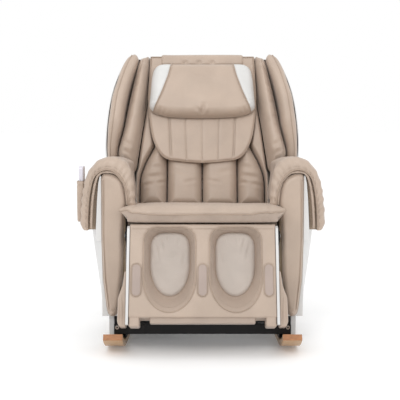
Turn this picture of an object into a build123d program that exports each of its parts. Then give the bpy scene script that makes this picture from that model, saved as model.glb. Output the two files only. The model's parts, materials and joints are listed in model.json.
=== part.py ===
from build123d import *
import os
from math import cos, radians, sin, tan

# A compact massage armchair on two bent-wood runners.
# Frame: millimetres, +Z up, the sitter faces -Y, origin on the floor below the centre of the chair.
# "left" and "right" are the sitter's, so left is +X.

os.makedirs("parts", exist_ok=True)

# ---------------------------------------------------------------- driving dimensions
SIDE_X = 426                 # half the overall width, at the armrest pads
FIT = 0.05                   # radial clearance of a pin or shaft that turns in a hole
GAP = 1.0                    # clearance between soft pieces and their neighbours

# Runners
RUNNER_IN, RUNNER_OUT = 262, 325        # inner and outer edge of a runner, from the middle
RUNNER_T = 20
RUNNER_FLAT_FRONT, RUNNER_FLAT_REAR = 150, 183   # flat stretch that stands on the floor
ROCK_R, ROCK_ANGLE = 2200, 4.7          # shallow stretch beyond the flat
TIP_R, TIP_ANGLE = 280, 30.3            # upturned tip

# Steel base
RAIL_IN, RAIL_OUT = 262, 302
RAIL_Z0, RAIL_Z1 = 30, 70
RAIL_FRONT, RAIL_REAR = -318, 318
TUBE_WALL = 3
CROSS_Y = 230                           # cross tubes under the seat posts, front and rear
BAR_Z0, BAR_Z1 = 44, 77                 # front crossbar
BAR_FRONT = -330

# Arms
ARM_FRONT, ARM_REAR = -345, 160
ARM_Z0, DECK_Z, ARM_Z1 = 104, 398, 588  # bottom, deck under the armrest pads, top of the frame
ARM_IN, ARM_OUT = 262, 341              # the arm frame, between seat and armrest pad
ARM_WALL = 5
PAD_T = 29                              # depth of the padded arm front
SADDLE_FRONT, SADDLE_REAR = -338, 45

# Seat
SEAT_IN = 256                           # half width of the cushion between the arms
NOSE_X = 272                            # half width of the cushion in front of the arms
SEAT_FRONT, SEAT_REAR = -392, 40
BOARD_Z0, BOARD_Z1 = 372, 384
POST_X0, POST_X1 = 231, 251             # seat frame tubes
LUG_X0, LUG_X1 = 251.5, 258.5           # pivot plates, outside the tubes

# Backrest: a plane leans back from the vertical; (x, up along the back, out towards the sitter)
BACK_Y, BACK_Z, BACK_TILT = 110, 470, 18
PIVOT_Y, PIVOT_Z = 165, 335             # recline axis
PIN_R = 6
PAD_FRONT = 60                          # how far the back pads stand out of the back plane
BIB_FRONT = 80
SHELL_T = 5
RAIL_X, RAIL_W, RAIL_R = 110, -66, 8    # massage guide rails
PLATE_X0, PLATE_X1 = 240, 250           # backrest side plates

# Legrest: its own plane leans back too; (x, up, out)
LEG_Y, LEG_Z, LEG_TILT = -384, 425, 19
LEG_X = 250
LEG_AXIS = 30                           # the pivot is this far below the top and behind the front
LEG_BOTTOM, TAB_BOTTOM = -306, -337
WELL_X = 109                            # middle of each calf well

# Actuators
RECLINE, LIFT = 40, 75                  # travel of the backrest and of the legrest, degrees
BACK_LEVER, LEG_LEVER = 110, 50         # actuator levers, from the pivot to the pin
BACK_LEVER_REST = 12                    # angle of the backrest lever behind straight down
BACK_ARM_X, LEG_ARM_X = 60, 0
LEG_PIN_R = 5
# A pin swings on an arc while its actuator pushes straight, so the eye is bored this much wider all
# round, and the pin sits that far off centre at either end of the travel.
BACK_SLACK = BACK_LEVER * (1 - cos(radians(RECLINE / 2))) / 2
LEG_SLACK = LEG_LEVER * (1 - cos(radians(LIFT / 2))) / 2

# Massage carriage on the backrest's guide rails
SCREW_W, SCREW_R = -76, 6
CARRIAGE_V = 35                         # middle of the carriage in its lowest position
KNEAD_W, ROLLER_W = -48, -30            # rocking axis of a massage arm, and its rollers' axles
ROLLER_V, ROLLER_R = 45, 18

BACK = Plane(
    origin=(0, BACK_Y, BACK_Z),
    x_dir=(1, 0, 0),
    z_dir=(0, -cos(radians(BACK_TILT)), sin(radians(BACK_TILT))),
)
LEG = Plane(
    origin=(0, LEG_Y, LEG_Z),
    x_dir=(1, 0, 0),
    z_dir=(0, -cos(radians(LEG_TILT)), sin(radians(LEG_TILT))),
)
# The recline axis in the back plane's own terms, and the legrest axis in the chair's.
PIVOT_V, PIVOT_W = tuple(BACK.to_local_coords(Vector(0, PIVOT_Y, PIVOT_Z)))[1:]
LEG_AXIS_POINT = LEG.from_local_coords(Vector(0, -LEG_AXIS, -LEG_AXIS))
LEG_AXIS_Y, LEG_AXIS_Z = LEG_AXIS_POINT.Y, LEG_AXIS_POINT.Z

# Actuator pins at rest, and the straight lines the eyes move along.
BACK_PIN_Y = PIVOT_Y + BACK_LEVER * sin(radians(BACK_LEVER_REST))
BACK_PIN_Z = PIVOT_Z - BACK_LEVER * cos(radians(BACK_LEVER_REST))
LEG_PIN_Y = LEG_AXIS_Y + LEG_LEVER * sin(radians(LIFT / 2))
LEG_PIN_Z = LEG_AXIS_Z - LEG_LEVER * cos(radians(LIFT / 2))
PUSH_TILT = radians(RECLINE / 2 - BACK_LEVER_REST)
BACK_REACH, LEG_REACH = 395, 400        # from an actuator's fixed end to its eye, at rest
BACK_DRIVE = Plane(
    origin=(
        BACK_ARM_X,
        BACK_PIN_Y - BACK_SLACK * sin(PUSH_TILT) - BACK_REACH * cos(PUSH_TILT),
        BACK_PIN_Z - BACK_SLACK * cos(PUSH_TILT) + BACK_REACH * sin(PUSH_TILT),
    ),
    x_dir=(1, 0, 0),
    z_dir=(0, cos(PUSH_TILT), -sin(PUSH_TILT)),
)
LEG_DRIVE = Plane(
    origin=(LEG_ARM_X, LEG_PIN_Y + LEG_REACH, LEG_PIN_Z - LEG_SLACK),
    x_dir=(-1, 0, 0),
    z_dir=(0, -1, 0),
)


# ---------------------------------------------------------------- helpers
def slab(x, y, z, mode=Mode.ADD):
    """A box between two limits along each axis of the current workplane."""
    middle = [(low + high) / 2 for low, high in (x, y, z)]
    with Locations(tuple(middle)):
        Box(x[1] - x[0], y[1] - y[0], z[1] - z[0], mode=mode)


def rod(x, y, z, radius, mode=Mode.ADD):
    """A round bar along X, from x[0] to x[1], centred on (y, z)."""
    with Locations(Location(((x[0] + x[1]) / 2, y, z), (0, 90, 0))):
        Cylinder(radius, x[1] - x[0], mode=mode)


def post(x, y, z, radius, mode=Mode.ADD):
    """A round bar along the third axis of the current workplane."""
    with Locations((x, y, (z[0] + z[1]) / 2)):
        Cylinder(radius, z[1] - z[0], mode=mode)


def tube_y(x, y, z, wall, mode=Mode.ADD):
    """A rectangular tube along Y, open at both ends."""
    slab(x, y, z, mode)
    slab((x[0] + wall, x[1] - wall), y, (z[0] + wall, z[1] - wall), Mode.SUBTRACT)


def outline(points, closed_by=()):
    """A closed outline: a spline through points, then straight lines through closed_by."""
    with BuildLine() as path:
        Spline(*points)
        Polyline(points[-1], *closed_by, points[0])
    make_face(path.edges())


def polygon(*points):
    """A closed outline of straight lines."""
    with BuildLine() as path:
        Polyline(*points, close=True)
    make_face(path.edges())


def save(shape, name):
    shape.label = name
    export_step(shape, f"parts/{name}.step")


def save_left_and_right(shape, name):
    """Writes a piece made on the left, and its mirror image."""
    save(shape, f"{name}_left")
    save(mirror(shape, about=Plane.YZ), f"{name}_right")


def side_plane(base, x):
    """A plane on edge to a leaning plane, at x: (out, up); it extrudes towards -X."""
    return Plane(origin=base.from_local_coords(Vector(x, 0, 0)), x_dir=base.z_dir, z_dir=(-1, 0, 0))


def back_section(v):
    """A plane across the backrest at height v; its second axis points away from the sitter."""
    tilt = radians(BACK_TILT)
    return Plane(
        origin=BACK.from_local_coords(Vector(0, v, 0)),
        x_dir=(1, 0, 0),
        z_dir=(0, sin(tilt), cos(tilt)),
    )


# ---------------------------------------------------------------- runners and base
def half_runner(flat, side):
    """One end of a runner, from its middle to its tip: underside, end face and top."""
    rock = JernArc((side * flat, 0), (side, 0), ROCK_R, side * ROCK_ANGLE)
    tip = JernArc(rock @ 1, rock % 1, TIP_R, side * TIP_ANGLE)
    top_rock = JernArc((side * flat, RUNNER_T), (side, 0), ROCK_R - RUNNER_T, side * ROCK_ANGLE)
    top_tip = JernArc(top_rock @ 1, top_rock % 1, TIP_R - RUNNER_T, side * TIP_ANGLE)
    Line(tip @ 1, top_tip @ 1)


FIXING_X = (RUNNER_IN + RUNNER_OUT) / 2 - 9
FIXING_Y = (-120, 20, 150)
with BuildPart() as runner:
    with BuildSketch(Plane.YZ.offset(RUNNER_IN)):
        with BuildLine():
            half_runner(RUNNER_FLAT_FRONT, -1)
            half_runner(RUNNER_FLAT_REAR, 1)
            Line((-RUNNER_FLAT_FRONT, 0), (RUNNER_FLAT_REAR, 0))
            Line((-RUNNER_FLAT_FRONT, RUNNER_T), (RUNNER_FLAT_REAR, RUNNER_T))
        make_face()
    extrude(amount=RUNNER_OUT - RUNNER_IN)
    fillet(runner.edges().filter_by(Axis.X).group_by(Axis.Y)[0], 4)
    fillet(runner.edges().filter_by(Axis.X).group_by(Axis.Y)[-1], 4)
    for y in FIXING_Y:
        post(FIXING_X, y, (-1, RUNNER_T + 1), 4.3, Mode.SUBTRACT)
        post(FIXING_X, y, (-1, 9), 9, Mode.SUBTRACT)
save_left_and_right(runner.part, "runner")

# Spacers between runner and rail, the bolts through both, and the ring-headed bolts at the front corners.
RING_X, RING_Z = 291, 68
with BuildPart() as fixings:
    for y in FIXING_Y:
        slab((FIXING_X - 14, FIXING_X + 14), (y - 22, y + 22), (RUNNER_T, RAIL_Z0))
        post(FIXING_X, y, (RUNNER_T - 1, RAIL_Z0 + 1), 4.3, Mode.SUBTRACT)
    for y in FIXING_Y:
        post(FIXING_X, y, (3, 9), 8)
        post(FIXING_X, y, (9, RAIL_Z0 + TUBE_WALL + 8), 4)
    with BuildSketch(Plane.XZ.offset(-BAR_FRONT)):
        with Locations((RING_X, RING_Z)):
            Circle(6.5)
            Circle(3, mode=Mode.SUBTRACT)
    extrude(amount=4)
    mirror(about=Plane.YZ)
save(fixings.part, "fixings")

with BuildPart() as base_frame:
    tube_y((RAIL_IN, RAIL_OUT), (RAIL_FRONT, RAIL_REAR), (RAIL_Z0, RAIL_Z1), TUBE_WALL)
    for y in FIXING_Y:
        post(FIXING_X, y, (RAIL_Z0 - 1, RAIL_Z0 + TUBE_WALL + 1), 4.3, Mode.SUBTRACT)
    mirror(about=Plane.YZ)
    for y in (-CROSS_Y, CROSS_Y, RAIL_REAR - 15):
        slab((-RAIL_IN, RAIL_IN), (y - 15, y + 15), (RAIL_Z0, RAIL_Z1))
save(base_frame.part, "base_frame")

RECESS_X = 196
with BuildPart() as front_crossbar:
    slab((-RAIL_OUT, RAIL_OUT), (BAR_FRONT, RAIL_FRONT), (BAR_Z0, BAR_Z1))
    slab((-RECESS_X, RECESS_X), (BAR_FRONT, BAR_FRONT + 3), (BAR_Z0, BAR_Z1), Mode.SUBTRACT)
    fillet(front_crossbar.edges().filter_by(Axis.X).group_by(Axis.Y)[0], 2)
    # Corner plates that stand on the side rails.
    for x in (-RAIL_OUT, 277):
        slab((x, x + 25), (-310, -304), (RAIL_Z1, 165))
        slab((x, x + 25), (RAIL_FRONT, -286), (RAIL_Z1, RAIL_Z1 + 5))
save(front_crossbar.part, "front_crossbar")

# Gussets on the crossbar that the lowered legrest rests against, with rubber bumpers.
GUSSET_IN, GUSSET_OUT = 180, 188
BUMPER_Z = 104
bumper_reach = (
    LEG.from_local_coords(Vector(0, 0, -105)).Y
    + (BUMPER_Z - LEG.from_local_coords(Vector(0, 0, -105)).Z) * tan(radians(LEG_TILT))
)
with BuildPart() as stop_brackets:
    with BuildSketch(Plane.YZ.offset(GUSSET_IN)):
        polygon(
            (RAIL_FRONT, BAR_Z1),
            (RAIL_FRONT, BAR_Z1 + 34),
            (BAR_FRONT - 6, BUMPER_Z + 12),
            (BAR_FRONT - 24, BUMPER_Z + 6),
            (BAR_FRONT - 24, BUMPER_Z - 6),
            (BAR_FRONT, BAR_Z1),
        )
    extrude(amount=GUSSET_OUT - GUSSET_IN)
    slab((GUSSET_IN - 10, GUSSET_OUT + 22), (BAR_FRONT + 2, RAIL_FRONT), (BAR_Z1, BAR_Z1 + 5))
    with Locations(Location((GUSSET_IN + 4, BAR_FRONT - 24, BUMPER_Z), (90, 0, 0))):
        Cylinder(9, -bumper_reach + BAR_FRONT - 24 - 9 * tan(radians(LEG_TILT)) - 1.5, align=(Align.CENTER, Align.CENTER, Align.MIN))
    mirror(about=Plane.YZ)
save(stop_brackets.part, "stop_brackets")

with BuildPart() as side_plinths:
    slab((304, 321), (-300, 150), (27, 132))
    fillet(side_plinths.edges().filter_by(Axis.X), 10)
    mirror(about=Plane.YZ)
save(side_plinths.part, "side_plinths")


# ---------------------------------------------------------------- arms
# Outer edge of an arm shell: how far it bulges at a few heights.
SHELL_BULGE = ((ARM_Z0, 350), (172, 366), (250, 381), (DECK_Z, 402))


def arm_section(z, bulge, wall):
    """Plan of an arm shell at one height, shrunk by the wall thickness."""
    front, rear = ARM_FRONT + PAD_T + wall, ARM_REAR - wall
    with BuildSketch(Plane.XY.offset(z)) as section:
        outline(
            [
                (343 - wall, front),
                (343 + 0.7 * (bulge - 343) - wall, -200),
                (bulge - wall, -60),
                (338 + 0.6 * (bulge - 338) - wall, 70),
                (334 - wall, rear),
            ],
            [(272 - wall, rear), (272 - wall, front)],
        )
    return section.sketch.face()


with BuildPart() as arm_shell:
    loft(sections=[arm_section(z, bulge, 0) for z, bulge in SHELL_BULGE])
    loft(sections=[arm_section(z - 4, bulge, ARM_WALL) for z, bulge in SHELL_BULGE], mode=Mode.SUBTRACT)
    slab((250, 304), (-311, 155), (ARM_Z0 - 1, DECK_Z + 1), Mode.SUBTRACT)
    # A narrow upright trim beside the padded front, inside the armrest's arch, on a small foot.
    with BuildSketch(Plane.XZ.offset(-ARM_FRONT - PAD_T + 0.8)):
        polygon(
            (342, 366), (342, 582), (345, 588), (351, 560), (356, 500), (361, DECK_Z), (361, 366),
        )
    extrude(amount=13)
    slab((343, 360), (ARM_FRONT + PAD_T - 1, ARM_FRONT + PAD_T + 1), (367, DECK_Z - 1))
save_left_and_right(arm_shell.part, "arm_shell")

POST_IN, POST_OUT = 272, 300
with BuildPart() as arm_frame:
    with BuildSketch(Plane.XZ.offset(-(ARM_FRONT + PAD_T + 1))):
        polygon(
            (ARM_IN, 132), (ARM_IN, 545), (286, ARM_Z1), (ARM_OUT, ARM_Z1), (ARM_OUT, DECK_Z),
            (ARM_OUT - 8, DECK_Z), (ARM_OUT - 8, ARM_Z1 - 8), (290.5, ARM_Z1 - 8),
            (ARM_IN + 8, 543), (ARM_IN + 8, 132),
        )
    extrude(amount=-(SADDLE_REAR - 5 - ARM_FRONT - PAD_T - 1))
    for y in (-CROSS_Y, 10):
        slab((POST_IN, POST_OUT), (y - 13, y + 13), (RAIL_Z1, 560))
        slab((ARM_IN + 8, POST_IN), (y - 13, y + 13), (150, 180))
        slab((ARM_IN + 8, POST_IN), (y - 13, y + 13), (480, 510))
save_left_and_right(arm_frame.part, "arm_frame")

with BuildPart() as arm_front_pad:
    with BuildSketch(Plane.XZ.offset(-ARM_FRONT)):
        outline(
            [
                (316, 592), (292, 582), (279, 572), (271, 559), (266, 539), (261, 505), (260, 485),
                (266, 455), (269, 420), (270, 330), (272, 255), (280, 180), (294, 114),
            ],
            [(306, 107), (324, 131), (336, 234), (341, 370), (341, 580), (337, 590)],
        )
    extrude(amount=-PAD_T + 0.5)
    fillet(arm_front_pad.faces().sort_by(Axis.Y)[0].edges().filter_by(GeomType.BSPLINE), 6)
save_left_and_right(arm_front_pad.part, "arm_front_pad")

# The padded armrest is draped over the arm frame: a thick inverted U.
SADDLE_OUTER = [
    (226, 484), (227, 514), (231, 550), (238, 589), (252, 622), (277, 642), (309, 648), (337, 643),
    (364, 626), (386, 594), (400, 551), (408, 505), (412, 460), (412, 430), (407, 408), (400, 402),
]
SADDLE_ARCH = [
    (386, 394), (385, 450), (381, 504), (372, 556), (360, 583), (337, 600), (307, 600), (282, 583),
    (262, 551), (250, 504), (248, 478),
]


def saddle(pocketed):
    with BuildPart() as body:
        with BuildSketch(Plane.XZ.offset(-SADDLE_FRONT)):
            outline(
                SADDLE_OUTER,
                [
                    (396, DECK_Z + 2), (ARM_OUT + 2, DECK_Z + 2), (ARM_OUT + 2, ARM_Z1 + 1.5),
                    (285, ARM_Z1 + 1.5), (ARM_IN - 1.5, 546), (ARM_IN - 1.5, 484),
                ],
            )
        extrude(amount=-(SADDLE_REAR - SADDLE_FRONT))
        with BuildSketch(Plane.XZ.offset(-SADDLE_FRONT)):
            outline(SADDLE_ARCH, [(248, 394)])
        extrude(amount=-21.7, mode=Mode.SUBTRACT)
        rim = body.edges().filter_by(GeomType.BSPLINE).filter_by(
            lambda edge: edge.length > 400 and edge.bounding_box().max.X > 400
        )
        fillet(rim, 14)
        if pocketed:
            slab((399, 440), (-322, -238), (424, 660), Mode.SUBTRACT)
    return body.part


save(saddle(False), "armrest_pad_left")
save(mirror(saddle(True), about=Plane.YZ), "armrest_pad_right")

# A pouch on the outside of the right armrest pad, and the remote control standing in it.
POUCH_Y, POUCH_Z0, POUCH_Z1 = -280, 428, 566
with BuildPart() as remote_pocket:
    slab((-426, -400), (POUCH_Y - 36, POUCH_Y + 36), (POUCH_Z0, POUCH_Z1))
    slab((-422, -403), (POUCH_Y - 32, POUCH_Y + 32), (POUCH_Z0 + 12, POUCH_Z1 + 1), Mode.SUBTRACT)
    fillet(remote_pocket.edges().filter_by(Axis.Y).group_by(Axis.Z)[0], 7)
save(remote_pocket.part, "remote_pocket")

REMOTE_X0, REMOTE_X1, REMOTE_Z0, REMOTE_Z1 = -419, -405, 442, 616
BUTTONS = {"power": (POUCH_Y, 603, 6), "program": (POUCH_Y - 14, 584, 5), "pause": (POUCH_Y + 14, 584, 5)}
with BuildPart() as remote:
    slab((REMOTE_X0, REMOTE_X1), (POUCH_Y - 28, POUCH_Y + 28), (REMOTE_Z0, REMOTE_Z1))
    fillet(remote.edges().filter_by(Axis.X), 10)
    fillet(remote.edges().group_by(Axis.X)[-1], 3)
    for y, z, radius in BUTTONS.values():
        rod((REMOTE_X0 - 1, REMOTE_X0 + 4), y, z, radius + 0.3, Mode.SUBTRACT)
save(remote.part, "remote")
for name, (y, z, radius) in BUTTONS.items():
    with BuildPart() as button:
        rod((REMOTE_X0 - 1.2, REMOTE_X0 + 2.2), y, z, radius)
        fillet(button.edges().group_by(Axis.X)[0], 0.6)
    save(button.part, f"button_{name}")

# ---------------------------------------------------------------- seat
with BuildPart() as seat_frame:
    tube_y((POST_X0, POST_X1), (-300, 110), (341, 371), 2.5)
    for y in (-CROSS_Y, CROSS_Y - 140):
        slab((POST_X0, POST_X1), (y - 15, y + 15), (RAIL_Z1 if y < 0 else 295, 341))
    slab((POST_X0, POST_X1), (CROSS_Y - 155, CROSS_Y + 15), (270, 295))
    slab((POST_X0, POST_X1), (CROSS_Y - 15, CROSS_Y + 15), (RAIL_Z1, 270))
    # Pivot plates for the legrest and the backrest, outside the tubes.
    with BuildSketch(Plane.YZ.offset(POST_X1)):
        polygon(
            (-300, 343), (-240, 343), (-240, 371), (LEG_AXIS_Y, LEG_AXIS_Z + 16),
            (LEG_AXIS_Y - 14, LEG_AXIS_Z), (LEG_AXIS_Y, LEG_AXIS_Z - 16),
        )
        polygon(
            (40, 343), (110, 318), (PIVOT_Y, PIVOT_Z - 16), (PIVOT_Y + 16, PIVOT_Z),
            (PIVOT_Y, PIVOT_Z + 16), (110, 371), (40, 371),
        )
    extrude(amount=LUG_X1 - POST_X1)
    slab(
        (POST_X1 - 1, LUG_X0),
        (LEG_AXIS_Y - 20, -301),
        (LEG_AXIS_Z - 60, LEG_AXIS_Z + 30),
        Mode.SUBTRACT,
    )
    slab((POST_X1 - 1, LUG_X0), (111, 190), (300, 380), Mode.SUBTRACT)
    rod((POST_X1 - 1, LUG_X1 + 1), LEG_AXIS_Y, LEG_AXIS_Z, PIN_R + FIT, Mode.SUBTRACT)
    rod((POST_X1 - 1, LUG_X1 + 1), PIVOT_Y, PIVOT_Z, PIN_R + FIT, Mode.SUBTRACT)
    mirror(about=Plane.YZ)
    for y in (-CROSS_Y, CROSS_Y - 140):
        slab((-POST_X0, POST_X0), (y - 15, y + 15), (295, 320))
    # Forks that carry the fixed ends of the actuators.
    back_end, leg_end = BACK_DRIVE.origin, LEG_DRIVE.origin
    for x in (-13, 9):
        with BuildSketch(Plane.YZ.offset(BACK_ARM_X + x)):
            polygon(
                (-245, 296), (-215, 296), (back_end.Y + 12, back_end.Z), (back_end.Y + 6, back_end.Z - 12),
                (back_end.Y - 8, back_end.Z - 12), (-245, 282),
            )
        extrude(amount=4)
        with BuildSketch(Plane.YZ.offset(LEG_ARM_X + x)):
            polygon(
                (75, 319), (105, 319), (leg_end.Y + 12, leg_end.Z + 8), (leg_end.Y, leg_end.Z + 12),
                (leg_end.Y - 12, leg_end.Z),
            )
        extrude(amount=4)
    rod((BACK_ARM_X - 13, BACK_ARM_X + 13), back_end.Y, back_end.Z, PIN_R)
    rod((LEG_ARM_X - 13, LEG_ARM_X + 13), leg_end.Y, leg_end.Z, PIN_R)
save(seat_frame.part, "seat_frame")

with BuildPart() as seat_board:
    slab((-250.5, 250.5), (-298, 95), (BOARD_Z0, BOARD_Z1))
    fillet(seat_board.edges().filter_by(Axis.Z), 20)
save(seat_board.part, "seat_board")

# The cushion: a crowned top, and a nose that overhangs the legrest and spreads in front of the arms.
with BuildPart() as seat_cushion:
    with BuildSketch(Plane.YZ.offset(-NOSE_X)):
        polygon(
            (SEAT_FRONT + 12, 434), (SEAT_FRONT, 447), (SEAT_FRONT - 1, 461), (SEAT_FRONT + 8, 474),
            (SEAT_FRONT + 42, 490), (-60, 470), (SEAT_REAR - 8, 459), (SEAT_REAR, 450),
            (SEAT_REAR, BOARD_Z1 + 0.5), (-282, BOARD_Z1 + 0.5), (-296, 434),
        )
    extrude(amount=2 * NOSE_X)
    with BuildSketch(Plane.XZ.offset(-SEAT_REAR - 1)):
        with BuildLine():
            crown = ThreePointArc((-NOSE_X, 470), (0, 488.5), (NOSE_X, 470))
            Polyline(crown @ 1, (NOSE_X, 380), (-NOSE_X, 380), crown @ 0)
        make_face()
    extrude(amount=450, mode=Mode.INTERSECT)
    for side in (-1, 1):
        slab(
            (min(side * SEAT_IN, side * 300), max(side * SEAT_IN, side * 300)),
            (ARM_FRONT - 1, 60),
            (370, 500),
            Mode.SUBTRACT,
        )
save(seat_cushion.part, "seat_cushion")

# ---------------------------------------------------------------- electrics under the seat
with BuildPart() as air_pump:
    slab((-215, -65), (-185, 20), (RAIL_Z1 + 20, 190))
    fillet(air_pump.edges().filter_by(Axis.Z), 18)
    for x in (-195, -85):
        slab((x - 12, x + 12), (-CROSS_Y - 12, 45), (RAIL_Z1, RAIL_Z1 + 20))
    for z in range(112, 182, 14):
        slab((-216, -64), (-187, -181), (z, z + 5), Mode.SUBTRACT)
    for x in (-170, -110):
        with Locations(Location((x, 30, 150), (90, 0, 0))):
            Cylinder(7, 30)
save(air_pump.part, "air_pump")

BOX_FRONT, BOX_REAR = 252, 330
SWITCH_X, SWITCH_Z = 62, 118
with BuildPart() as control_box:
    slab((-110, 110), (BOX_FRONT, BOX_REAR), (RAIL_Z1, 160))
    fillet(control_box.edges().filter_by(Axis.Z), 8)
    fillet(control_box.edges().group_by(Axis.Z)[-1], 4)
    # Rocker switch opening, mains inlet with its three pins, and the cooling slots.
    slab((SWITCH_X - 9.5, SWITCH_X + 9.5), (BOX_REAR - 14, BOX_REAR + 1), (SWITCH_Z - 13, SWITCH_Z + 13), Mode.SUBTRACT)
    slab((6, 34), (BOX_REAR - 18, BOX_REAR + 1), (SWITCH_Z - 10, SWITCH_Z + 10), Mode.SUBTRACT)
    for x, z in ((13, SWITCH_Z - 2), (20, SWITCH_Z + 4), (27, SWITCH_Z - 2)):
        slab((x - 1, x + 1), (BOX_REAR - 18, BOX_REAR - 3), (z - 2, z + 2))
    for x in range(-95, -20, 9):
        slab((x, x + 4), (BOX_REAR - 4, BOX_REAR + 1), (90, 145), Mode.SUBTRACT)
    for x in (SWITCH_X - 10.5, SWITCH_X + 9.5):
        with Locations(Location((x + 0.5, BOX_REAR - 5, SWITCH_Z), (0, 90, 0))):
            Cylinder(1, 2)
save(control_box.part, "control_box")

with BuildPart() as power_switch:
    with BuildSketch(Plane.YZ.offset(SWITCH_X - 9)):
        polygon(
            (BOX_REAR - 9, SWITCH_Z - 10.5), (BOX_REAR, SWITCH_Z - 12), (BOX_REAR + 1, SWITCH_Z),
            (BOX_REAR + 3.6, SWITCH_Z + 11.6), (BOX_REAR - 6, SWITCH_Z + 11),
        )
    extrude(amount=18)
    rod((SWITCH_X - 9.5, SWITCH_X + 9.5), BOX_REAR - 5, SWITCH_Z, 1.2, Mode.SUBTRACT)
save(power_switch.part, "power_switch")

# ---------------------------------------------------------------- backrest
PLATE_TOP = 545
with BuildPart() as back_frame:
    with BuildSketch(side_plane(BACK, PLATE_X1)):
        polygon(
            (-60, PIVOT_V - 2), (PIVOT_W, PIVOT_V - 18), (PIVOT_W - 17, PIVOT_V), (-102, -70),
            (-94, -40), (-94, 420), (-50, PLATE_TOP), (0, PLATE_TOP), (0, -40),
        )
        with Locations((-50, 60), (-50, 230), (-48, 400)):
            SlotOverall(120, 46, rotation=90, mode=Mode.SUBTRACT)
    extrude(amount=PLATE_X1 - PLATE_X0)
    with BuildPart(BACK):
        slab((205, PLATE_X0), (-40, PLATE_TOP), (-6, 0))
        # Pins on both sides, outside the plates.
        rod((PLATE_X1, LUG_X1 + 3), PIVOT_V, PIVOT_W, PIN_R)
    mirror(about=Plane.YZ)
    with BuildPart(BACK):
        slab((-PLATE_X0, PLATE_X0), (-62, -42), (-92, -40))
        slab((-PLATE_X0, PLATE_X0), (502, 522), (-54, 0))
        slab((-130, 130), (502, 522), (-92, -54))
        slab((-PLATE_X0, PLATE_X0), (-42, -26), (-6, 0))
        rod((-PLATE_X0, PLATE_X0), PIVOT_V, PIVOT_W, 14)
        for x in (-RAIL_X, RAIL_X):
            with Locations(Location((x, 229, RAIL_W), (90, 0, 0))):
                Cylinder(RAIL_R, 550)
        with Locations(Location((0, 229, SCREW_W), (90, 0, 0))):
            Cylinder(SCREW_R + FIT, 566, mode=Mode.SUBTRACT)
    # Lever for the recline actuator, under the pivot.
    lever = [
        (PIVOT_Y - 12, PIVOT_Z - 6), (PIVOT_Y + 12, PIVOT_Z - 4), (BACK_PIN_Y + 12, BACK_PIN_Z),
        (BACK_PIN_Y + 3, BACK_PIN_Z - 12), (BACK_PIN_Y - 12, BACK_PIN_Z - 2),
    ]
    for x in (BACK_ARM_X - 17, BACK_ARM_X + 11):
        with BuildSketch(Plane.YZ.offset(x)):
            polygon(*lever)
        extrude(amount=6)
    rod((BACK_ARM_X - 17, BACK_ARM_X + 17), BACK_PIN_Y, BACK_PIN_Z, PIN_R)
save(back_frame.part, "back_frame")

# The hard white shell behind the backrest: (height, half width, front edge, rear), in the back's terms.
SHELL_LOFT = (
    (-66, 262, -112, -142), (20, 305, -40, -150), (100, 354, 20, -152), (160, 368, 60, -152),
    (265, 365, 100, -150), (391, 347, 115, -146), (470, 325, 105, -138), (530, 302, 80, -126),
    (562, 278, 38, -112),
)


def shell_section(v, half, front, rear):
    """One cross-section of the back shell, open side towards the sitter."""
    f, r = -front, -rear
    right = [
        (half, f), (half - 2, f + 0.45 * (r - f)), (0.83 * half, f + 0.85 * (r - f)), (0.45 * half, r - 3),
    ]
    with BuildSketch(back_section(v)) as section:
        outline(right + [(0, r)] + [(-x, y) for x, y in reversed(right)])
    return section.sketch.face()


with BuildPart() as back_shell:
    loft(sections=[shell_section(*station) for station in SHELL_LOFT])
    hollow = [(v, half - SHELL_T, front + 12, rear + SHELL_T) for v, half, front, rear in SHELL_LOFT]
    hollow = [(-90, *hollow[0][1:])] + hollow[1:-1] + [(554, 277, 62, -113)]
    loft(sections=[shell_section(*station) for station in hollow], mode=Mode.SUBTRACT)
save(back_shell.part, "back_shell")


def pad(front, rear, points, closed_by=None):
    """A flat cushion on the backrest: straight-sided, or a spline closed by straight lines."""
    with BuildPart() as cushion:
        with BuildSketch(BACK.offset(rear)):
            if closed_by is None:
                polygon(*points)
            else:
                outline(points, closed_by)
        extrude(amount=front - rear)
    return cushion.part


inner_pad = pad(59, 2, [(0.7, -40), (134, -40), (134, 545), (0.7, 545)])
save_left_and_right(inner_pad, "lumbar_pad_inner")
# The outer lumbar pads give way to the side strips along a sloping edge.
LUMBAR_EDGE = [(196, 320), (184, 206), (199, 175), (213, 149), (223, 125), (231, 103), (237, 78), (239, 55)]
outer_pad = pad(59, 2, [(190, 545)] + LUMBAR_EDGE + [(239, -40), (135.5, -40), (135.5, 545)])
save_left_and_right(outer_pad, "lumbar_pad_outer")
strip = pad(
    57,
    2,
    [(x + 2, v + 1) for x, v in LUMBAR_EDGE]
    + [(241, -40), (255, -40), (255, 92), (250, 110), (243, 161), (231, 256), (214, 365)],
)
save(strip + mirror(strip, about=Plane.YZ), "side_strips")

bib_side = [(196, 548), (199, 470), (203, 380), (198, 304), (181, 215), (143, 155), (80, 139)]
bib = pad(80, 61, bib_side + [(0, 132)] + [(-x, v) for x, v in reversed(bib_side)], [])
save(bib, "back_drape")

with BuildPart() as pillow:
    with BuildSketch(BACK.offset(81.5)):
        side = [
            (110, 511), (150, 517), (174, 508), (188, 488), (196, 450), (200, 391), (202, 347), (194, 329),
            (172, 317), (128, 307),
        ]
        outline(side + [(0, 302)] + [(-x, v) for x, v in reversed(side)])
    extrude(amount=52)
save(pillow.part, "pillow")

with BuildPart() as top_cover:
    with BuildSketch(side_plane(BACK, 166)):
        outline([(78, 549), (74, 566), (40, 579), (0, 577), (-50, 570), (-60, 563)], [(58, 563), (58, 549)])
    extrude(amount=332)
    fillet(top_cover.edges().filter_by(GeomType.BSPLINE), 6)
save(top_cover.part, "top_cover")

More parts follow.
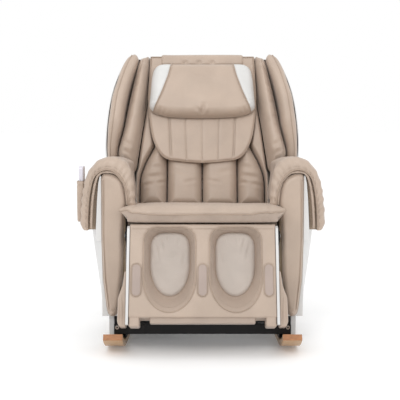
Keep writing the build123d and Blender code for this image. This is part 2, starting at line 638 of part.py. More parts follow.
with BuildPart() as shoulder_cushion:
    with BuildSketch(BACK.offset(8)):
        outline(
            [
                (205, 546), (212, 450), (219, 371), (236, 256), (249, 161), (258, 110), (268, 104), (297, 124),
                (317, 143), (325, 165), (320, 199), (303, 274), (286, 371), (266, 469), (240, 544),
            ],
        )
    extrude(amount=110)
    with BuildSketch(side_plane(BACK, 400)):
        polygon((8, 90), (8, 550), (96, 550), (116, 515), (118, 175), (84, 96))
    extrude(amount=250, mode=Mode.INTERSECT)
save_left_and_right(shoulder_cushion.part, "shoulder_cushion")

# The padded wings: (height, inner, outer, rear, front).
WING_LOFT = (
    (128, 330, 354, 20, 62), (200, 323, 354, 10, 108), (265, 308, 352, 5, 135), (391, 288, 335, 5, 148),
    (470, 270, 313, 8, 138), (520, 256, 293, 26, 118), (558, 250, 268, 62, 102),
)


def wing_section(v, inner, outer, rear, front):
    with BuildSketch(back_section(v)) as section:
        with Locations(((inner + outer) / 2, -(rear + front) / 2)):
            RectangleRounded(outer - inner, front - rear, 8)
    return section.sketch.face()


with BuildPart() as wing:
    loft(sections=[wing_section(*station) for station in WING_LOFT])
save_left_and_right(wing.part, "wing")

# ---------------------------------------------------------------- massage mechanism
with BuildPart() as carriage:
    with BuildPart(BACK):
        low, high = CARRIAGE_V - 50, CARRIAGE_V + 50
        slab((94, 126), (low, high), (-92, -54))
        post_holes = Location((RAIL_X, CARRIAGE_V, RAIL_W), (90, 0, 0))
        with Locations(post_holes):
            Cylinder(RAIL_R + FIT, 102, mode=Mode.SUBTRACT)
        for x in (46, 61):
            slab((x, x + 5), (CARRIAGE_V - 8, CARRIAGE_V + 8), (-84, KNEAD_W + 6))
        rod((46, 66), CARRIAGE_V, KNEAD_W, 4)
    mirror(about=Plane.YZ)
    with BuildPart(BACK):
        slab((-94, 94), (low, high), (-92, -84))
        slab((-14, 14), (CARRIAGE_V - 20, CARRIAGE_V + 20), (-90, -62))
        with Locations(Location((0, CARRIAGE_V, SCREW_W), (90, 0, 0))):
            Cylinder(SCREW_R + FIT, 60, mode=Mode.SUBTRACT)
save(carriage.part, "massage_carriage")

with BuildPart() as massage_arm:
    with BuildSketch(side_plane(BACK, 60)):
        v = CARRIAGE_V
        polygon((-57, v), (-36, v - 50), (-24, v - 48), (-39, v), (-24, v + 48), (-36, v + 50))
        with Locations((KNEAD_W, v)):
            Circle(10)
        with Locations((ROLLER_W, v - ROLLER_V), (ROLLER_W, v + ROLLER_V)):
            Circle(8)
    extrude(amount=8)
    with BuildPart(BACK):
        for end in (v - ROLLER_V, v + ROLLER_V):
            rod((60, 86), end, ROLLER_W, 5)
    with BuildPart(BACK, mode=Mode.SUBTRACT):
        rod((51, 61), v, KNEAD_W, 4 + FIT)
save_left_and_right(massage_arm.part, "massage_arm")

for name, end in (("upper", CARRIAGE_V + ROLLER_V), ("lower", CARRIAGE_V - ROLLER_V)):
    with BuildPart() as roller:
        with BuildPart(BACK):
            rod((62, 84), end, ROLLER_W, ROLLER_R)
            fillet(roller_edges := BuildPart._get_context().edges().filter_by(GeomType.CIRCLE), 5)
            rod((61, 85), end, ROLLER_W, 5 + FIT, Mode.SUBTRACT)
    save_left_and_right(roller.part, f"roller_{name}")

with BuildPart() as lead_screw:
    with BuildPart(BACK):
        with Locations(Location((0, 229, SCREW_W), (90, 0, 0))):
            Cylinder(SCREW_R, 564)
save(lead_screw.part, "lead_screw")

# ---------------------------------------------------------------- legrest
# A calf well narrows towards its floor: (depth, half width, top, bottom).
WELL_MOUTH, WELL_FLOOR = (1, 86, -4, -291), (-62, 67, -24, -237)


def well_section(depth, half, top, bottom, inset):
    half, top, bottom = half - inset, top - inset, bottom + inset
    with BuildSketch(LEG.offset(depth)) as section:
        with BuildLine() as path:
            bowl = ThreePointArc((half, bottom + half), (0, bottom), (-half, bottom + half))
            Line(bowl @ 1, (-half, top - 45))
            ThreePointArc((-half, top - 45), (-half + 13, top - 13), (-half + 45, top))
            Line((-half + 45, top), (half - 45, top))
            ThreePointArc((half - 45, top), (half - 13, top - 13), (half, top - 45))
            Line((half, top - 45), bowl @ 0)
        make_face(path.edges())
    return section.sketch.face()


def well(inset, lift):
    """The space of a calf well, shrunk by inset and with its floor raised by lift."""
    depth, half, top, bottom = WELL_FLOOR
    space = Solid.make_loft([well_section(*WELL_MOUTH, inset).outer_wire(),
                             well_section(depth + lift, half, top, bottom, inset).outer_wire()])
    return [Pos(x, 0, 0) * space for x in (-WELL_X, WELL_X)]


with BuildPart() as leg_body:
    with BuildSketch(side_plane(LEG, 241)):
        polygon(
            (0, LEG_BOTTOM), (0, -10), (-10, 0), (-55, 0), (-75, -15), (-75, -75), (-96, -100),
            (-96, LEG_BOTTOM),
        )
    extrude(amount=482)
    with BuildPart(LEG):
        slab((-172, 172), (LEG_BOTTOM - 20, LEG_BOTTOM), (-40, -8))
        for x in (-241, 204):
            slab((x, x + 37), (TAB_BOTTOM, LEG_BOTTOM), (-60, -6))
    with BuildPart(LEG, mode=Mode.SUBTRACT):
        slab((LEG_ARM_X - 20, LEG_ARM_X + 20), (-112, 1), (-97, -38))
    add(well(0, 0), mode=Mode.SUBTRACT)
save(leg_body.part, "legrest_body")

with BuildPart() as leg_liners:
    add(well(0.3, 0.3))
    add(well(4, 4), mode=Mode.SUBTRACT)
    with BuildPart(LEG, mode=Mode.SUBTRACT):
        slab((-250, 250), (-300, 10), (0, 5))
save(leg_liners.part, "calf_liners")

with BuildPart() as leg_panels:
    with BuildSketch(LEG.offset(0.2)):
        with Locations((-217, -184), (0, -184), (217, -184)):
            SlotOverall(107, 31, rotation=90)
    extrude(amount=3)
save(leg_panels.part, "knit_panels")

with BuildPart() as leg_sides:
    with BuildSketch(side_plane(LEG, 250)):
        polygon(
            (-25, LEG_BOTTOM), (-25, LEG_BOTTOM - 23), (1.5, LEG_BOTTOM - 23), (1.5, -12), (-10, -1), (-55, -1), (-76, -16), (-76, -74), (-105, -100),
            (-105, LEG_BOTTOM),
        )
    extrude(amount=8.5)
    with BuildPart(LEG):
        rod((249, LUG_X1 + 1.5), -LEG_AXIS, -LEG_AXIS, PIN_R)
save_left_and_right(leg_sides.part, "legrest_side")

with BuildPart() as leg_skirts:
    with BuildSketch(LEG.offset(-70)):
        polygon((250.3, -150), (258, -150), (263, -200), (278, -240), (279, -318), (272, -335), (250.3, -335))
    extrude(amount=52)
    mirror(about=Plane.YZ)
save(leg_skirts.part, "legrest_skirts")

with BuildPart() as leg_frame:
    with BuildPart(LEG):
        slab((-241, 241), (LEG_BOTTOM, -104), (-105, -96.5))
        slab((-200, 200), (-180, -150), (-117, -105))
    pin = LEG.to_local_coords(Vector(0, LEG_PIN_Y, LEG_PIN_Z))
    for x in (LEG_ARM_X + 17, LEG_ARM_X - 11):
        with BuildSketch(side_plane(LEG, x)):
            polygon(
                (pin.Z + 9, pin.Y - 7), (pin.Z + 9, pin.Y + 7), (pin.Z - 9, pin.Y + 9), (-108, -100),
                (-108, -150), (-97, -150), (-97, -108),
            )
        extrude(amount=6)
    rod((LEG_ARM_X - 17, LEG_ARM_X + 17), LEG_PIN_Y, LEG_PIN_Z, LEG_PIN_R)
save(leg_frame.part, "legrest_frame")

# ---------------------------------------------------------------- actuators
def drive_tube(plane, length, radius):
    """The fixed half of an actuator: rear lug, gearbox, motor and bored tube."""
    with BuildPart() as tube:
        with BuildPart(plane):
            rod((-8, 8), 0, 0, 12)
            slab((-8, 8), (-12, 12), (0, 26))
            slab((-radius, radius), (-radius, 50), (24, 58))
            post(0, 0, (58, length), radius)
            post(0, 34, (58, 130), radius - 2)
            rod((-9, 9), 0, 0, PIN_R + FIT, Mode.SUBTRACT)
            post(0, 0, (40, length + 1), 8.3, Mode.SUBTRACT)
    return tube.part


def drive_rod(plane, start, reach, hole):
    """The moving half: a rod, and an eye bored wide enough for the pin's arc."""
    with BuildPart() as mover:
        with BuildPart(plane):
            post(0, 0, (start, reach - hole - 2), 8)
            rod((-8, 8), 0, reach, hole + 5)
            rod((-9, 9), 0, reach, hole, Mode.SUBTRACT)
    return mover.part


save(drive_tube(BACK_DRIVE, 232, 17), "recline_drive")
save(drive_rod(BACK_DRIVE, 122, BACK_REACH, PIN_R + BACK_SLACK + 0.35), "recline_rod")
save(drive_tube(LEG_DRIVE, 300, 15), "legrest_drive")
save(drive_rod(LEG_DRIVE, 180, LEG_REACH, LEG_PIN_R + LEG_SLACK + 0.35), "legrest_rod")
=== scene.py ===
import json
import math

import bpy
import numpy as np
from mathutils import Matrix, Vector

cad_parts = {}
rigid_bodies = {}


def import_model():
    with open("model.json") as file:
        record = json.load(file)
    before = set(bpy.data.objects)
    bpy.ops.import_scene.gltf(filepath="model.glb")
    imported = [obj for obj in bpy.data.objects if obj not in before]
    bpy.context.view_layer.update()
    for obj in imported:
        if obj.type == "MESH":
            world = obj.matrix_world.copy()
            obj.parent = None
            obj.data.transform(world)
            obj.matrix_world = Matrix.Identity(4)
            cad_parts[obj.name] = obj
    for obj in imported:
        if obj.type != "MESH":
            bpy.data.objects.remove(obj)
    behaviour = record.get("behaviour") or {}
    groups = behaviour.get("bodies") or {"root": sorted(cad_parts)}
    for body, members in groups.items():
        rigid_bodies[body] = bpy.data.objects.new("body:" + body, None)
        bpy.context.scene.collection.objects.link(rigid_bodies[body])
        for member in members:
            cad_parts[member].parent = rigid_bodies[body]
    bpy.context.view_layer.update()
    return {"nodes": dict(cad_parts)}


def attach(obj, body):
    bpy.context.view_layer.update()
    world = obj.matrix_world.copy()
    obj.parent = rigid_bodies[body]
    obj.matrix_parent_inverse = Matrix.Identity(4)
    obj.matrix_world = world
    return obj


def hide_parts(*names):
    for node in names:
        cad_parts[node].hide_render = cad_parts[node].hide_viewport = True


for leftover in list(bpy.data.objects):
    bpy.data.objects.remove(leftover)
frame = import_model()
NODES = frame["nodes"]

# ---------------------------------------------------------------- planes, in millimetres
BACK_Y, BACK_Z, BACK_TILT = 110, 470, math.radians(18)
LEG_Y, LEG_Z, LEG_TILT = -384, 425, math.radians(19)
ARM_FRONT_Y = -316.5


def back(x, v, w):
    """A point of the backrest: across, up along it, out towards the sitter."""
    s, c = math.sin(BACK_TILT), math.cos(BACK_TILT)
    return np.stack(np.broadcast_arrays(x, BACK_Y + v * s - w * c, BACK_Z + v * c + w * s), -1)


def leg(x, v, w):
    """A point of the legrest: across, up along it, out towards the front."""
    s, c = math.sin(LEG_TILT), math.cos(LEG_TILT)
    return np.stack(np.broadcast_arrays(x, LEG_Y + v * s - w * c, LEG_Z + v * c + w * s), -1)


def arm_front(x, z, out):
    """A point of an arm's padded front."""
    return np.stack(np.broadcast_arrays(x, ARM_FRONT_Y - out, z), -1)


# ---------------------------------------------------------------- curves and fields
def spline(points, n, closed=False):
    """A Catmull-Rom curve through points, resampled to n even steps."""
    p = np.array(points, float)
    if closed:
        p = np.vstack([p[-1:], p, p[:2]])
    else:
        p = np.vstack([2 * p[0] - p[1], p, 2 * p[-1] - p[-2]])
    t = np.linspace(0, 1, 24, endpoint=False)[:, None]
    a, b, c, d = p[:-3, None], p[1:-2, None], p[2:-1, None], p[3:, None]
    square, cube = 2 * a - 5 * b + 4 * c - d, 3 * b - a - 3 * c + d
    q = 0.5 * (2 * b + (c - a) * t + square * t**2 + cube * t**3)
    q = q.reshape(-1, p.shape[1])
    if not closed:
        q = np.vstack([q, p[-2:-1]])
    return resample(q, n, closed)


def resample(q, n, closed=False):
    """A polyline divided into n even steps."""
    if closed:
        q = np.vstack([q, q[:1]])
    length = np.concatenate([[0], np.cumsum(np.linalg.norm(np.diff(q, axis=0), axis=1))])
    at = np.linspace(0, length[-1], n, endpoint=not closed)
    return np.stack([np.interp(at, length, q[:, k]) for k in range(q.shape[1])], -1)


def rounded(points, radius, steps=6):
    """A closed outline with its corners rounded to a radius, or to less where a side is short."""
    p = np.array(points, float)
    out = []
    for previous, corner, following in zip(np.roll(p, 1, axis=0), p, np.roll(p, -1, axis=0)):
        a, b = previous - corner, following - corner
        la, lb = np.linalg.norm(a), np.linalg.norm(b)
        cut = min(radius, 0.45 * la, 0.45 * lb)
        start, end = corner + a / la * cut, corner + b / lb * cut
        for t in np.linspace(0, 1, steps):
            out.append((1 - t) ** 2 * start + 2 * t * (1 - t) * corner + t * t * end)
    return np.array(out)


def distance(p, line, closed=True):
    """Distance from each 2-D point to a polyline."""
    a = np.array(line, float)
    b = np.roll(a, -1, axis=0) if closed else a[1:]
    a = a if closed else a[:-1]
    shape, p = p.shape[:-1], p.reshape(-1, 2)
    best = np.full(len(p), 1e9)
    for start, end in zip(a, b):
        d = end - start
        t = np.clip(((p - start) @ d) / max(d @ d, 1e-9), 0, 1)
        best = np.minimum(best, np.linalg.norm(p - start - t[:, None] * d, axis=1))
    return best.reshape(shape)


def inside(p, line):
    """Whether each 2-D point lies inside a closed polyline."""
    a = np.array(line, float)
    b = np.roll(a, -1, axis=0)
    x, y = p[..., 0], p[..., 1]
    found = np.zeros(x.shape, bool)
    for (ax, ay), (bx, by) in zip(a, b):
        crosses = (ay > y) != (by > y)
        at = ax + (y - ay) * (bx - ax) / ((by - ay) if by != ay else 1e-9)
        found ^= crosses & (x < at)
    return found


def smooth(t):
    """A soft step from 0 to 1."""
    t = np.clip(t, 0, 1)
    return t * t * (3 - 2 * t)


def dome(t):
    """A quarter circle: how far a rounded edge has risen, a share t of the way in."""
    return np.sqrt(np.clip(1 - (1 - np.clip(t, 0, 1)) ** 2, 0, 1))


def stuffed(d, low, high, edge, wall):
    """A pad's height at distance d from its outline: a straight wall, then an edge rounded over a width."""
    return low + (high - low) * (wall + (1 - wall) * dome(d / edge))


def bell(offset, width):
    """1 in the middle and nothing beyond two widths or so."""
    return np.exp(-((offset / width) ** 2))


def between(a, b, share):
    """The curve that lies a share of the way from a to b."""
    return a + (b - a) * share


def looped(path):
    """A path that ends where it starts."""
    return np.vstack([path, path[:1]])


def ripple(p, size, seed=0):
    """Smooth noise between -1 and 1, from a few random waves about size long."""
    r = np.random.default_rng(seed)
    total = 0
    for _ in range(7):
        direction = r.normal(size=p.shape[-1])
        direction *= 2 * math.pi / (size * r.uniform(0.6, 1.8) * np.linalg.norm(direction))
        total = total + np.sin(p @ direction + r.uniform(0, 7))
    return total / 4


def fold(p, start, end, width, depth):
    """A crease: a soft valley along a line between two 2-D points, fading out at its ends."""
    a, b = np.array(start, float), np.array(end, float)
    along = np.clip((p - a) @ (b - a) / ((b - a) @ (b - a)), 0, 1)
    off = distance(p, [a, b], closed=False)
    fade = np.sin(math.pi * np.clip(0.08 + 0.84 * along, 0, 1))
    return -depth * fade * bell(off, width) + 0.5 * depth * fade * bell(off - 2 * width, width)


def folds(p, creases):
    return sum(fold(p, *crease) for crease in creases)


# ---------------------------------------------------------------- meshes
def quads(rows, cols, around=False):
    """The faces of a grid of points, or of a tube of rings."""
    r = np.arange(rows - 1)[:, None]
    c = np.arange(cols if around else cols - 1)[None]
    n = (c + 1) % cols
    corners = (r * cols + c, r * cols + n, (r + 1) * cols + n, (r + 1) * cols + c)
    return np.stack(np.broadcast_arrays(*corners), -1).reshape(-1, 4).tolist()


def capped(rows, cols):
    """The faces of a tube of rings that is closed at both ends."""
    ends = [list(range(cols)), [rows * cols - 1 - i for i in range(cols)]]
    return quads(rows, cols, around=True) + ends


def divided(faces, chosen):
    """The faces that are not chosen, and those that are."""
    return [f for f, c in zip(faces, chosen) if not c], [f for f, c in zip(faces, chosen) if c]


def piece(node, parts, body):
    """One padded object that stands for a CAD node, from parts that are each (points in mm, faces, material)."""
    name = f"{node}_soft"
    points, faces, slots, materials = [], [], [], []
    count = 0
    for xyz, part_faces, material in parts:
        xyz = np.asarray(xyz, float).reshape(-1, 3)
        if material not in materials:
            materials.append(material)
        points.append(xyz / 1000)
        faces += [[i + count for i in f] for f in part_faces]
        slots += [materials.index(material)] * len(part_faces)
        count += len(xyz)
    data = bpy.data.meshes.new(name)
    data.from_pydata(np.vstack(points).tolist(), [], faces)
    for material in materials:
        data.materials.append(material)
    data.polygons.foreach_set("material_index", slots)
    data.polygons.foreach_set("use_smooth", [True] * len(faces))
    data.update()
    data.validate()
    obj = bpy.data.objects.new(name, data)
    bpy.context.scene.collection.objects.link(obj)
    bpy.context.view_layer.objects.active = obj
    obj.select_set(True)
    bpy.ops.object.mode_set(mode="EDIT")
    bpy.ops.mesh.select_all(action="SELECT")
    bpy.ops.mesh.normals_make_consistent(inside=False)
    bpy.ops.object.mode_set(mode="OBJECT")
    obj.select_set(False)
    data.shade_smooth()
    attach(obj, body)
    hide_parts(node)


def pair(stem, parts, body, right=None):
    """A piece for the left and its mirror image, or the mirror image of right, for the other side."""
    for side, its_parts in (("left", parts), ("right", mirrored(right or parts))):
        piece(f"{stem}_{side}", its_parts, body)


def tube(path, radius, material, closed=False, sides=8):
    """A round welt along a 3-D path."""
    p = np.asarray(path, float)
    ahead = np.roll(p, -1, 0) - np.roll(p, 1, 0)
    if not closed:
        ahead[0], ahead[-1] = p[1] - p[0], p[-1] - p[-2]
    ahead /= np.linalg.norm(ahead, axis=1)[:, None] + 1e-12
    side = np.cross(ahead, [0.13, 0.31, 0.94])
    side /= np.linalg.norm(side, axis=1)[:, None] + 1e-12
    up = np.cross(side, ahead)
    angle = np.linspace(0, 2 * math.pi, sides, endpoint=False)
    c, s = np.cos(angle)[None, :, None], np.sin(angle)[None, :, None]
    ring = p[:, None] + radius * (c * side[:, None] + s * up[:, None])
    if closed:
        ring = np.concatenate([ring, ring[:1]])
    return ring, quads(len(ring), sides, around=True), material


def skirting(rows, cols):
    """The edge of a grid, all round, and the faces from it to a rim of as many points after the grid's."""
    index = np.arange(rows * cols).reshape(rows, cols)
    loop = np.concatenate([index[0], index[1:, -1], index[-1, -2::-1], index[-2:0:-1, 0]]).tolist()
    n = len(loop)
    sides = [[loop[i], loop[(i + 1) % n], rows * cols + (i + 1) % n, rows * cols + i] for i in range(n)]
    return loop, sides


def cushion(outline, place, low, high, material, edge=20, wall=0.3, puff=0, relief=None, rows=90, cols=60,
            other=None, welt=None):
    """A stuffed pad over an outline that any level line crosses once: rounded front, sides and flat back.
    edge is the width of the rounding and wall the share of the height that stands straight. relief(points,
    distance) adds to its height, other=(test, material) gives part of it another material, and welt=(radius,
    share, material) runs a welt round it at a share of its height."""
    line = np.array(outline, float)
    low_v, high_v = line[:, 1].min(), line[:, 1].max()
    v = low_v + (high_v - low_v) * (1 - np.cos(np.linspace(0.012, 0.988, rows) * math.pi)) / 2
    following = np.roll(line, -1, axis=0)
    spans = []
    for level in v:
        hit = (line[:, 1] > level) != (following[:, 1] > level)
        a, b = line[hit], following[hit]
        x = a[:, 0] + (level - a[:, 1]) * (b[:, 0] - a[:, 0]) / (b[:, 1] - a[:, 1])
        spans.append((x.min(), x.max()))
    spans = np.array(spans)
    s = (1 - np.cos(np.linspace(0, 1, cols) * math.pi)) / 2
    grid = np.stack([spans[:, :1] + (spans[:, 1:] - spans[:, :1]) * s, np.repeat(v[:, None], cols, 1)], -1)
    d = distance(grid, line)
    d[:, 0] = d[:, -1] = 0
    d[0] = d[-1] = 0
    top = high(grid) if callable(high) else high
    height = stuffed(d, low, top, edge, wall) + puff * (d / max(d.max(), 1)) ** 0.7
    if relief is not None:
        height = height + relief(grid, d)
    front = place(grid[..., 0], grid[..., 1], height)
    loop, sides = skirting(rows, cols)
    flat = grid.reshape(-1, 2)[loop]
    rim = place(flat[:, 0], flat[:, 1], low)
    sides.append([rows * cols + i for i in range(len(loop))])
    faces = quads(rows, cols)
    points = np.vstack([front.reshape(-1, 3), rim])
    parts = []
    if other is None:
        parts.append((points, faces + sides, material))
    else:
        test, second = other
        rest, chosen = divided(faces, test((grid[:-1, :-1] + grid[1:, 1:]) / 2).reshape(-1))
        parts.append((points, rest + sides, material))
        parts.append((front.reshape(-1, 3), chosen, second))
    if welt:
        radius, share, colour = welt
        ring = resample(line, 260, closed=True)
        top = high(ring) if callable(high) else high
        path = place(ring[:, 0], ring[:, 1], low + (top - low) * share)
        parts.append(tube(path, radius, colour, closed=True))
    return parts


def mirrored(parts):
    """The same parts on the other side of the chair."""
    return [(np.asarray(p).reshape(-1, 3) * [-1, 1, 1], f, m) for p, f, m in parts]


def stitches(path, material, length=4.5, gap=2.5, radius=0.7):
    """A row of thread stitches along a 3-D path."""
    p = np.asarray(path, float)
    total = np.linalg.norm(np.diff(p, axis=0), axis=1).sum()
    count = max(int(total / (length + gap)), 2)
    even = resample(p, 3 * count)
    sides = 5
    points, faces = [], []
    for k in range(count):
        start, end = even[3 * k], even[3 * k + 2]
        ring, part, _ = tube([start, (start + end) / 2, end], radius, material, sides=sides)
        faces += [[i + 3 * sides * k for i in f] for f in part]
        points.append(ring.reshape(-1, 3))
    return np.vstack(points), faces, material


# ---------------------------------------------------------------- materials
def new_material(name, colour, roughness, metallic=0.0, coat=0.0, sheen=0.0):
    material = bpy.data.materials.new(name)
    material.use_nodes = True
    shader = material.node_tree.nodes["Principled BSDF"]
    values = {"Base Color": (*colour, 1), "Roughness": roughness, "Metallic": metallic, "Coat Weight": coat,
              "Coat Roughness": 0.15, "Sheen Weight": sheen, "Sheen Roughness": 0.5}
    for socket, value in values.items():
        shader.inputs[socket].default_value = value
    return material, shader


class Nodes:
    """Short names for the few node kinds that the materials share."""

    def __init__(self, material):
        self.tree = material.node_tree
        self.place = self.new("TexCoord").outputs["Object"]

    def new(self, kind, values=None, **settings):
        """A node with these settings, and its inputs linked or set to these values."""
        node = self.tree.nodes.new("ShaderNode" + kind)
        for key, value in settings.items():
            setattr(node, key, value)
        for socket, value in (values or {}).items():
            if hasattr(value, "node"):
                self.link(value, node.inputs[socket])
            else:
                node.inputs[socket].default_value = value
        return node

    def link(self, source, target):
        self.tree.links.new(source, target)

    def drive(self, shader, colour, normal, roughness=None):
        for socket, source in (("Base Color", colour), ("Normal", normal), ("Roughness", roughness)):
            if source:
                self.link(source, shader.inputs[socket])

    def stretched(self, scale):
        return self.new("Mapping", {"Scale": scale, "Vector": self.place}).outputs["Vector"]

    def noise(self, scale, detail=4, vector=None):
        values = {"Scale": scale, "Detail": detail, "Vector": vector or self.place}
        return self.new("TexNoise", values).outputs["Fac"]

    def cells(self, scale):
        values = {"Scale": scale, "Vector": self.place}
        return self.new("TexVoronoi", values, feature="DISTANCE_TO_EDGE").outputs["Distance"]

    def wave(self, direction, scale, distortion):
        values = {"Scale": scale, "Distortion": distortion, "Vector": self.place}
        return self.new("TexWave", values, bands_direction=direction).outputs["Color"]

    def ramp(self, value, low, high, at=(0.35, 0.65)):
        node = self.new("ValToRGB", {"Fac": value})
        for element, colour, position in zip(node.color_ramp.elements, (low, high), at):
            element.color = (*colour, 1)
            element.position = position
        return node.outputs["Color"]

    def span(self, value, low, high):
        return self.new("MapRange", {"Value": value, "To Min": low, "To Max": high}).outputs["Result"]

    def mix(self, amount, a, b, kind="MIX"):
        node = self.new("Mix", {"Factor": amount}, data_type="RGBA", blend_type=kind)
        self.link(a, node.inputs[6])
        self.link(b, node.inputs[7])
        return node.outputs[2]

    def bump(self, height, strength, distance, normal=None):
        values = {"Height": height, "Strength": strength, "Distance": distance}
        if normal:
            values["Normal"] = normal
        return self.new("Bump", values).outputs["Normal"]


def shade(colour, factor):
    """A colour made darker or lighter."""
    return tuple(min(c * factor, 1) for c in colour)


def leather(name, colour, roughness=0.42):
    material, shader = new_material(name, colour, roughness, sheen=0.15)
    n = Nodes(material)
    tone = n.ramp(n.noise(9, 3), shade(colour, 0.94), shade(colour, 1.04))
    pores = n.ramp(n.cells(620), shade(colour, 0.90), (1, 1, 1), (0.0, 0.14))
    soft = n.bump(n.noise(38, 3), 0.12, 0.004)
    n.drive(shader, n.mix(0.25, tone, pores, "MULTIPLY"), n.bump(n.cells(620), 0.22, 0.0004, soft),
            n.span(n.noise(60, 5), roughness - 0.07, roughness + 0.09))
    return material


def plastic(name, colour, roughness, coat=0.0):
    material, shader = new_material(name, colour, roughness, coat=coat)
    n = Nodes(material)
    tone = n.ramp(n.noise(5, 2), shade(colour, 0.97), shade(colour, 1.02))
    n.drive(shader, tone, n.bump(n.noise(900, 2), 0.08, 0.0003),
            n.span(n.noise(30, 4), roughness * 0.85, roughness * 1.2))
    return material


def steel(name, colour, roughness, metallic, specular=0.5):
    material, shader = new_material(name, colour, roughness, metallic)
    shader.inputs["Specular IOR Level"].default_value = specular
    n = Nodes(material)
    tone = n.ramp(n.noise(12, 5), shade(colour, 0.8), shade(colour, 1.15))
    n.drive(shader, tone, n.bump(n.noise(1400, 2), 0.15, 0.0003),
            n.span(n.noise(90, 4), roughness * 0.8, roughness * 1.25))
    return material


def fabric(name, colour, pitch, roughness=0.75):
    """A fine woven or knitted cloth: its threads lie about two pitches apart, in metres."""
    material, shader = new_material(name, colour, roughness, sheen=0.4)
    n = Nodes(material)
    scale = 1 / pitch / 6.283
    weave = n.mix(0.5, n.wave("X", scale, 0.6), n.wave("Z", scale, 0.6), "MULTIPLY")
    tone = n.ramp(weave, shade(colour, 0.84), shade(colour, 1.05), (0.1, 0.8))
    patches = n.ramp(n.noise(14, 3), shade((1, 1, 1), 0.93), (1, 1, 1))
    n.drive(shader, n.mix(1.0, tone, patches, "MULTIPLY"), n.bump(weave, 0.35, 0.0006))
    return material


def wood(name, face, dark, layers, end=None):
    """Wood with its grain along Y, and where asked its layers' lines and a deeper colour on sawn ends."""
    material, shader = new_material(name, face, 0.4, coat=0.25)
    n = Nodes(material)
    grain = n.noise(22, 6, n.stretched((9, 0.7, 26)))
    streaks = n.noise(70, 3, n.stretched((14, 0.5, 3)))
    body = n.ramp(grain, dark, face, (0.32, 0.68))
    fine = n.ramp(streaks, shade((1, 1, 1), 0.80), (1, 1, 1), (0.3, 0.6))
    colour = n.mix(1.0, body, fine, "MULTIPLY")
    if layers:
        lines = n.ramp(n.wave("Z", 45, 0.3), shade((1, 1, 1), 0.78), (1, 1, 1), (0.05, 0.4))
        colour = n.mix(0.8, colour, lines, "MULTIPLY")
    if end:
        split = n.new("SeparateXYZ", {"Vector": n.new("NewGeometry").outputs["Normal"]})
        sawn = n.new("Math", {0: split.outputs["Y"]}, operation="ABSOLUTE")
        is_end = n.ramp(sawn.outputs[0], (0, 0, 0), (1, 1, 1), (0.66, 0.74))
        rings = n.ramp(n.noise(240, 3, n.stretched((0.25, 1, 1))), shade(end, 0.72), end)
        colour = n.mix(is_end, colour, rings)
    n.drive(shader, colour, n.bump(streaks, 0.12, 0.0005), n.span(grain, 0.32, 0.5))
    return material


TAUPE = (0.478, 0.377, 0.302)
LEATHER = leather("taupe_leather", TAUPE)
# A darker copy of the leather: painted shade, for the face under the seat's lip and the flap under the legrest.
SHADE = leather("shaded_leather", (0.435, 0.345, 0.282))
# A slightly darker copy of the leather for the wells' walls: painted shade in the recesses.
WELL = leather("well_wall_painted_shade_leather", (0.47, 0.372, 0.302))
PIPING = leather("leather_piping", (0.40, 0.305, 0.235), 0.38)
GUSSET = leather("pleated_gusset", (0.37, 0.275, 0.195), 0.5)
WHITE_LEATHER = leather("white_leather", (0.66, 0.655, 0.64), 0.36)
THREAD = fabric("thread", (0.44, 0.34, 0.26), 0.0006, 0.6)
SHELL = plastic("white_shell", (0.66, 0.655, 0.645), 0.4, coat=0.08)
WOOD = wood("bent_wood", (0.56, 0.36, 0.19), (0.44, 0.25, 0.11), True, (0.44, 0.19, 0.075))
PLYWOOD = wood("plywood", (0.50, 0.37, 0.24), (0.38, 0.26, 0.15), False)
STAINED = wood("stained_plywood", (0.035, 0.028, 0.024), (0.018, 0.015, 0.013), False)
BLACK_STEEL = steel("black_steel", (0.010, 0.009, 0.009), 0.42, 0.0, 0.22)
BRIGHT_STEEL = steel("bright_steel", (0.62, 0.62, 0.63), 0.28, 1.0)
BLACK_PLASTIC = plastic("black_plastic", (0.02, 0.02, 0.021), 0.5)
ROLLER = plastic("roller_rubber", (0.35, 0.34, 0.33), 0.6)
REMOTE = plastic("remote_shell", (0.66, 0.64, 0.70), 0.3, coat=0.4)
BUTTON = plastic("button_rubber", (0.30, 0.30, 0.32), 0.55)
LINER = fabric("calf_liner", (0.57, 0.50, 0.445), 0.0011)
KNIT = fabric("knit_panel", (0.45, 0.36, 0.315), 0.0016)

FINISH = {
    "leather": LEATHER, "white_shell": SHELL, "bent_wood": WOOD, "black_steel": BLACK_STEEL,
    "bright_steel": BRIGHT_STEEL, "liner": LINER, "knit": KNIT, "plywood": PLYWOOD,
    "black_plastic": BLACK_PLASTIC, "roller": ROLLER, "remote_body": REMOTE, "button": BUTTON,
}


def finish_nodes():
    """Gives every CAD node the material that its slot stands for."""
    for name, node in NODES.items():
        for holder in node.material_slots:
            finish = FINISH[holder.material.name.split(".")[0]]
            holder.material = STAINED if name == "legrest_frame" else finish
        if not node.data.polygons:
            continue
        node.data.shade_smooth()
        node.data.set_sharp_from_angle(angle=math.radians(32))


# ---------------------------------------------------------------- backrest
LUMBAR_EDGE = [(196, 320), (184, 206), (199, 175), (213, 149), (223, 125), (231, 103), (237, 78), (239, 55)]


